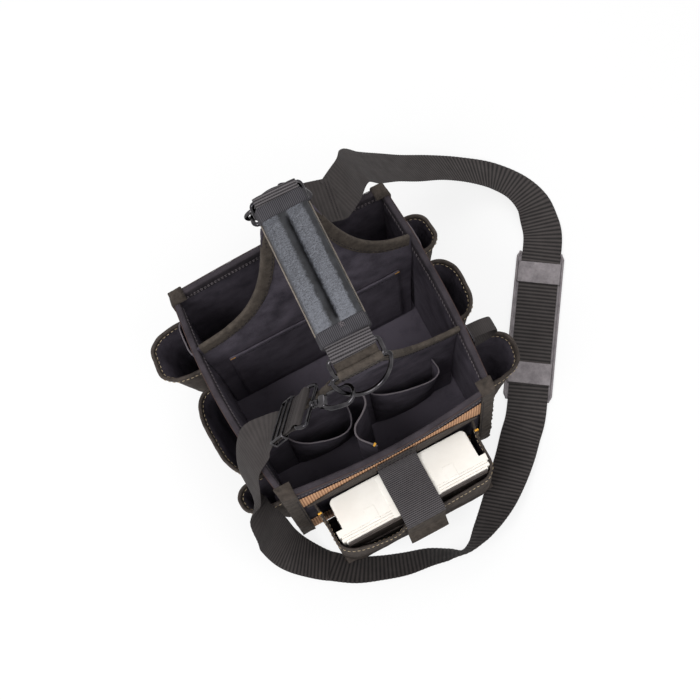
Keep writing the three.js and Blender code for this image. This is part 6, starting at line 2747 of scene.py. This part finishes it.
    def pocket(self) -> None:
        """Makes the pocket that holds the tray, with its floor and stitched hem."""
        shape = Shape()
        mouth, hem_low = self.pocket_mouth, self.pocket_mouth - self.hem_height
        shape.sheet(self.skirt(self.pocket_low, mouth - 6, 36, -1.0), self.pocket_cloth, (1, 0), 0.2)
        hem = self.skirt(hem_low, mouth - 1.5, 8, -1.0)
        thick = np.full(hem.shape[:2], self.hem_thickness)
        thick[0] *= self.hem_end
        shape.sheet(hem, thick, round_edge=0.3)
        y = np.linspace(-self.rear, -self.front - 1.5, 10)
        x, y = np.meshgrid(np.linspace(*self.floor_span, 24), y)
        floor = np.stack([x, y, np.full(x.shape, self.floor_height)], -1)
        shape.sheet(floor, self.floor_thickness, round_edge=0.3)
        self.put("tray_pouch", shape, [SUEDE, INSIDE], ["tray_pocket"], sharp=60)
        rows = []
        for out, sign in ((-2.5, -1), (0.5, 1)):
            line = self.skirt(hem_low + 1, hem_low + 3, 3, out)[1][3:-3]
            near = self.skirt(hem_low + 1, hem_low + 3, 3, out + sign)[1][3:-3]
            rows.append(Seam(line, unit(near - line), dash=3.6, space=2.1, radius=0.42))
        self.sew("tray_pouch_stitches", rows, CREAM_THREAD)
        corners = self.skirt(mouth - 4, mouth - 3, 2, 0.0)[1]
        tacks = [(corners[k] + Z_AXIS * 2.6, X_AXIS, Z_AXIS) for k in (4, -5)]
        self.bartacks("tray_pouch_bartacks", tacks, 4)

    def root(self) -> None:
        """Makes the hook patch on the pocket and the root of the strap, sewn to the front wall."""
        panel, half, (low, high) = self.panel, self.patch_half, self.patch_span
        shape = Shape()
        place = self.upright(self.strap_x)
        shape.block(place, (-half, -panel - GAP - 1, low), (half, -panel - GAP, high), 0.3)
        self.put("strap_hook_patch", shape, [LINING], ["strap_patch"])
        seat = self.root_seat()
        stations = [(seat + 3.2, 196), (seat + 1.4, 180), (seat, 158)]
        line = spline(np.array([(self.strap_x, -out, z) for out, z in stations], float), 8)
        shape = Shape()
        shape.ribbon(Band(line, for_each(line, X_AXIS), WEBBING - 0.4, STRAP_THICKNESS))
        self.put("strap_root", shape, [STRAP], ["tray_strap_root"])
        rows = []
        for z, out in ((192, seat + 3.9), (163, seat + 1.3)):
            row = np.array([(-19, -out, z), (27, -out, z)], float)
            rows.append(Seam(row, for_each(row, -Y_AXIS)))
        self.sew("strap_root_stitches", rows, DARK_THREAD)

    def root_seat(self) -> float:
        """Gives how far before the middle of the carrier the middle of the sewn root lies."""
        return -wall_at(Side.FRONT, self.strap_x, 160.0, 1.2 + 2 * GAP + STRAP_THICKNESS / 2)[1]

    def strap(self) -> None:
        """Makes the strap over the tray, in two pieces that ride on its tongue."""
        root, over = self.root_seat(), self.top + 2 + 0.9 + STRAP_THICKNESS / 2
        run = self.panel + GAP + 1 + GAP + STRAP_THICKNESS / 2
        profile = [
            (root + 0.6, 155), (root + 4, 149), (root + 12, over + 1), (root + 24, over),
            (self.front, over), (run, over - 5), (run, over - 12), (run, 112), (run, 98), (run, 84),
            (run + 4, 70), (run + 8, 60),
        ]
        path = spline(np.array([(self.strap_x, -out, z) for out, z in profile], float), 8)
        hung = path[:, 2] < self.tongue_split
        wide = WEBBING - 0.4
        tongue, end = path[~hung], path[hung]
        woven = Band(tongue, for_each(tongue, X_AXIS), wide, STRAP_THICKNESS, pitch=2.3, rib=0.34)
        worn = Band(end, for_each(end, X_AXIS), wide, STRAP_THICKNESS, pitch=1.8, rib=0.12)
        for name, band, finish, axis, anchor in (
            ("tray_tongue", woven, CHECK, (0.0, 1.0, 0.0), (0.004, -0.146, 0.155)),
            ("tray_tongue_end", worn, TRIM_SUEDE, (0.0, 0.8, 0.6), (0.004, -0.1794, 0.1266)),
        ):
            shape = Shape()
            shape.ribbon(band)
            made = self.put(name, shape, [finish], ["tray_strap"], "strap_tongue")
            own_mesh(made)
            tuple(axis)
            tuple(anchor)


@dataclass
class ToolLoop(Assembly):
    """The webbing loop on the right wall and the wire ring in it."""

    y: float = -58.0
    loop_width: float = 18.0
    loop_profile: tuple[Pair, ...] = (
        (0, 214), (0, 206), (6, 203), (24, 199), (37, 191), (40, 180), (34, 168), (18, 163), (3, 160),
        (0, 156), (0, 152),
    )
    ring_x: float = 145.4
    ring_z: float = 190.15
    ring_half: Pair = (11.5, 15)
    ring_corner: float = 4.5
    ring_wire: float = 1.5

    def build(self) -> None:
        """Makes the loop and the ring."""
        seat = wall_at(Side.RIGHT, -49.0, 216.0, GAP)[0] + STRAP_THICKNESS / 2
        path = spline(np.array([(seat + out, self.y, z) for out, z in self.loop_profile], float), 8)
        shape = Shape()
        shape.ribbon(Band(path, for_each(path, Y_AXIS), self.loop_width, STRAP_THICKNESS, 2.6, 0.3, 9))
        self.put("holder_loop", shape, [STRAP], ["tool_loop"])
        half_y, half_z = self.ring_half
        outline = rounded_outline((-half_y, -half_z), (half_y, half_z), self.ring_corner)
        path = ring_path([(self.ring_x, self.y + y, self.ring_z + z) for y, z in outline], 1.2)
        shape = Shape()
        shape.tube(path, self.ring_wire, True, 12)
        self.put("holder_ring", shape, [NICKEL], ["tool_ring"], "tool_ring")




@dataclass
class Studio:
    """Camera, floor and lights.

    Angles are in degrees and lengths in metres: the camera stands at a distance from its target,
    turned round the upright axis, raised and rolled.
    """

    turn: float = -11.92
    rise: float = 73.03
    roll: float = -16.26
    target: float = 0.240
    distance: float = 1.6231
    lens: float = 73.707
    sensor: float = 36.0
    shift: Pair = (0.02679, -0.01521)
    clip: Pair = (0.05, 50.0)
    floor_reach: float = 6.0
    floor_drop: float = 0.0006
    floor_tone: float = 0.86
    floor_glow: float = 0.8
    ambient: float = 0.62
    aim: Point = (0, 0, 0.15)

    def camera(self) -> None:
        """Makes the camera."""
        a, e, r = (math.radians(angle) for angle in (self.turn, self.rise, self.roll))
        back = vec(math.sin(a) * math.cos(e), -math.cos(a) * math.cos(e), math.sin(e))
        right = vec(math.cos(a), math.sin(a), 0)
        up = np.cross(back, right)
        x = right * math.cos(r) + up * math.sin(r)
        y = up * math.cos(r) - right * math.sin(r)
        data = bpy.data.cameras.new("camera")
        data.lens, data.sensor_width = self.lens, self.sensor
        data.shift_x, data.shift_y = self.shift
        data.clip_start, data.clip_end = self.clip
        made = self.link(bpy.data.objects.new("camera", data))
        place = Matrix((x, y, back)).transposed().to_4x4()
        place.translation = Vector(vec(0, 0, self.target) + back * self.distance)
        made.matrix_world = place
        bpy.context.scene.camera = made
        bpy.context.scene.view_settings.view_transform = "Standard"

    @staticmethod
    def link(made: bpy.types.Object) -> bpy.types.Object:
        """Adds an object to the scene and gives it back."""
        bpy.context.scene.collection.objects.link(made)
        return made

    def floor(self) -> None:
        """Makes the pale floor."""
        graph = Graph(bpy.data.materials.new("studio_floor"))
        shader = graph.surface
        shader.inputs["Base Color"].default_value = (*[self.floor_tone] * 3, 1)
        shader.inputs["Roughness"].default_value = 0.9
        shader.inputs["Specular IOR Level"].default_value = 0.1
        glow = graph.node("ShaderNodeEmission", {}, {"Color": (1, 1, 1, 1), "Strength": 1.0})
        seen = graph.seen_directly().between(0, 1, 0, self.floor_glow)
        inputs = {0: seen, 1: shader.outputs[0], 2: glow.outputs[0]}
        blend = graph.node("ShaderNodeMixShader", {}, inputs)
        graph.feed(graph.first("OUTPUT_MATERIAL").inputs[0], blend.outputs[0])
        mesh = bpy.data.meshes.new("floor")
        r = self.floor_reach
        mesh.from_pydata([(-r, -r, 0), (r, -r, 0), (r, r, 0), (-r, r, 0)], [], [(0, 1, 2, 3)])
        mesh.materials.append(graph.owner)
        made = self.link(bpy.data.objects.new("floor", mesh))
        made.location.z = -self.floor_drop
        made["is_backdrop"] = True

    def lamp(self, name: str, place: Point, size: float, power: float) -> None:
        """Makes a soft lamp that looks at the object.

        Args:
            name: Name of the lamp.
            place: Where it stands, in metres.
            size: Width of its face.
            power: Its power in watts.
        """
        data = bpy.data.lights.new(name, "AREA")
        data.shape, data.size, data.energy = "SQUARE", size, power
        made = self.link(bpy.data.objects.new(name, data))
        made.location = place
        made.rotation_euler = (Vector(self.aim) - Vector(place)).to_track_quat("-Z", "Y").to_euler()

    def world(self) -> None:
        """Makes the white surroundings."""
        world = bpy.data.worlds.new("surroundings")
        bpy.context.scene.world = world
        graph = Graph(world, "BACKGROUND")
        graph.surface.inputs[0].default_value = (1, 1, 1, 1)
        graph.feed(graph.surface.inputs[1], graph.seen_directly().between(0, 1, self.ambient, 1.0))

    def build(self) -> None:
        """Makes the floor, the surroundings and the lamps."""
        self.floor()
        self.world()
        self.lamp("key", (-0.9, -0.45, 1.9), size=0.7, power=20)
        self.lamp("fill", (0.2, -0.8, 2.0), size=0.9, power=10)
        self.lamp("back", (0.3, 1.0, 1.8), size=1.0, power=8)


def corners(box: tuple[Vector, Vector]) -> list[list[float]]:
    """Turns a box into plain numbers."""
    return [list(box[0]), list(box[1])]


def main() -> None:
    """Builds every assembly."""
    logging.basicConfig(level=logging.INFO, format="%(message)s")
    model = corners(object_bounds())
    studio = Studio()
    studio.camera()
    parts: list[Assembly] = [BodyShell(), Dividers(), Handle()]
    parts += [SnapHook(name=name, place=place, eye=eye) for name, (place, eye) in HOOK_PLACES.items()]
    parts += [ShoulderStrap(), Pockets(), PartsTray(), ToolLoop()]
    for part in parts:
        part.build()
    studio.build()
    log.info("made %d pieces", sum(len(part.made) for part in parts))
    {"model": model, "looks": corners(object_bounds())}


if __name__ == "__main__":
    main()
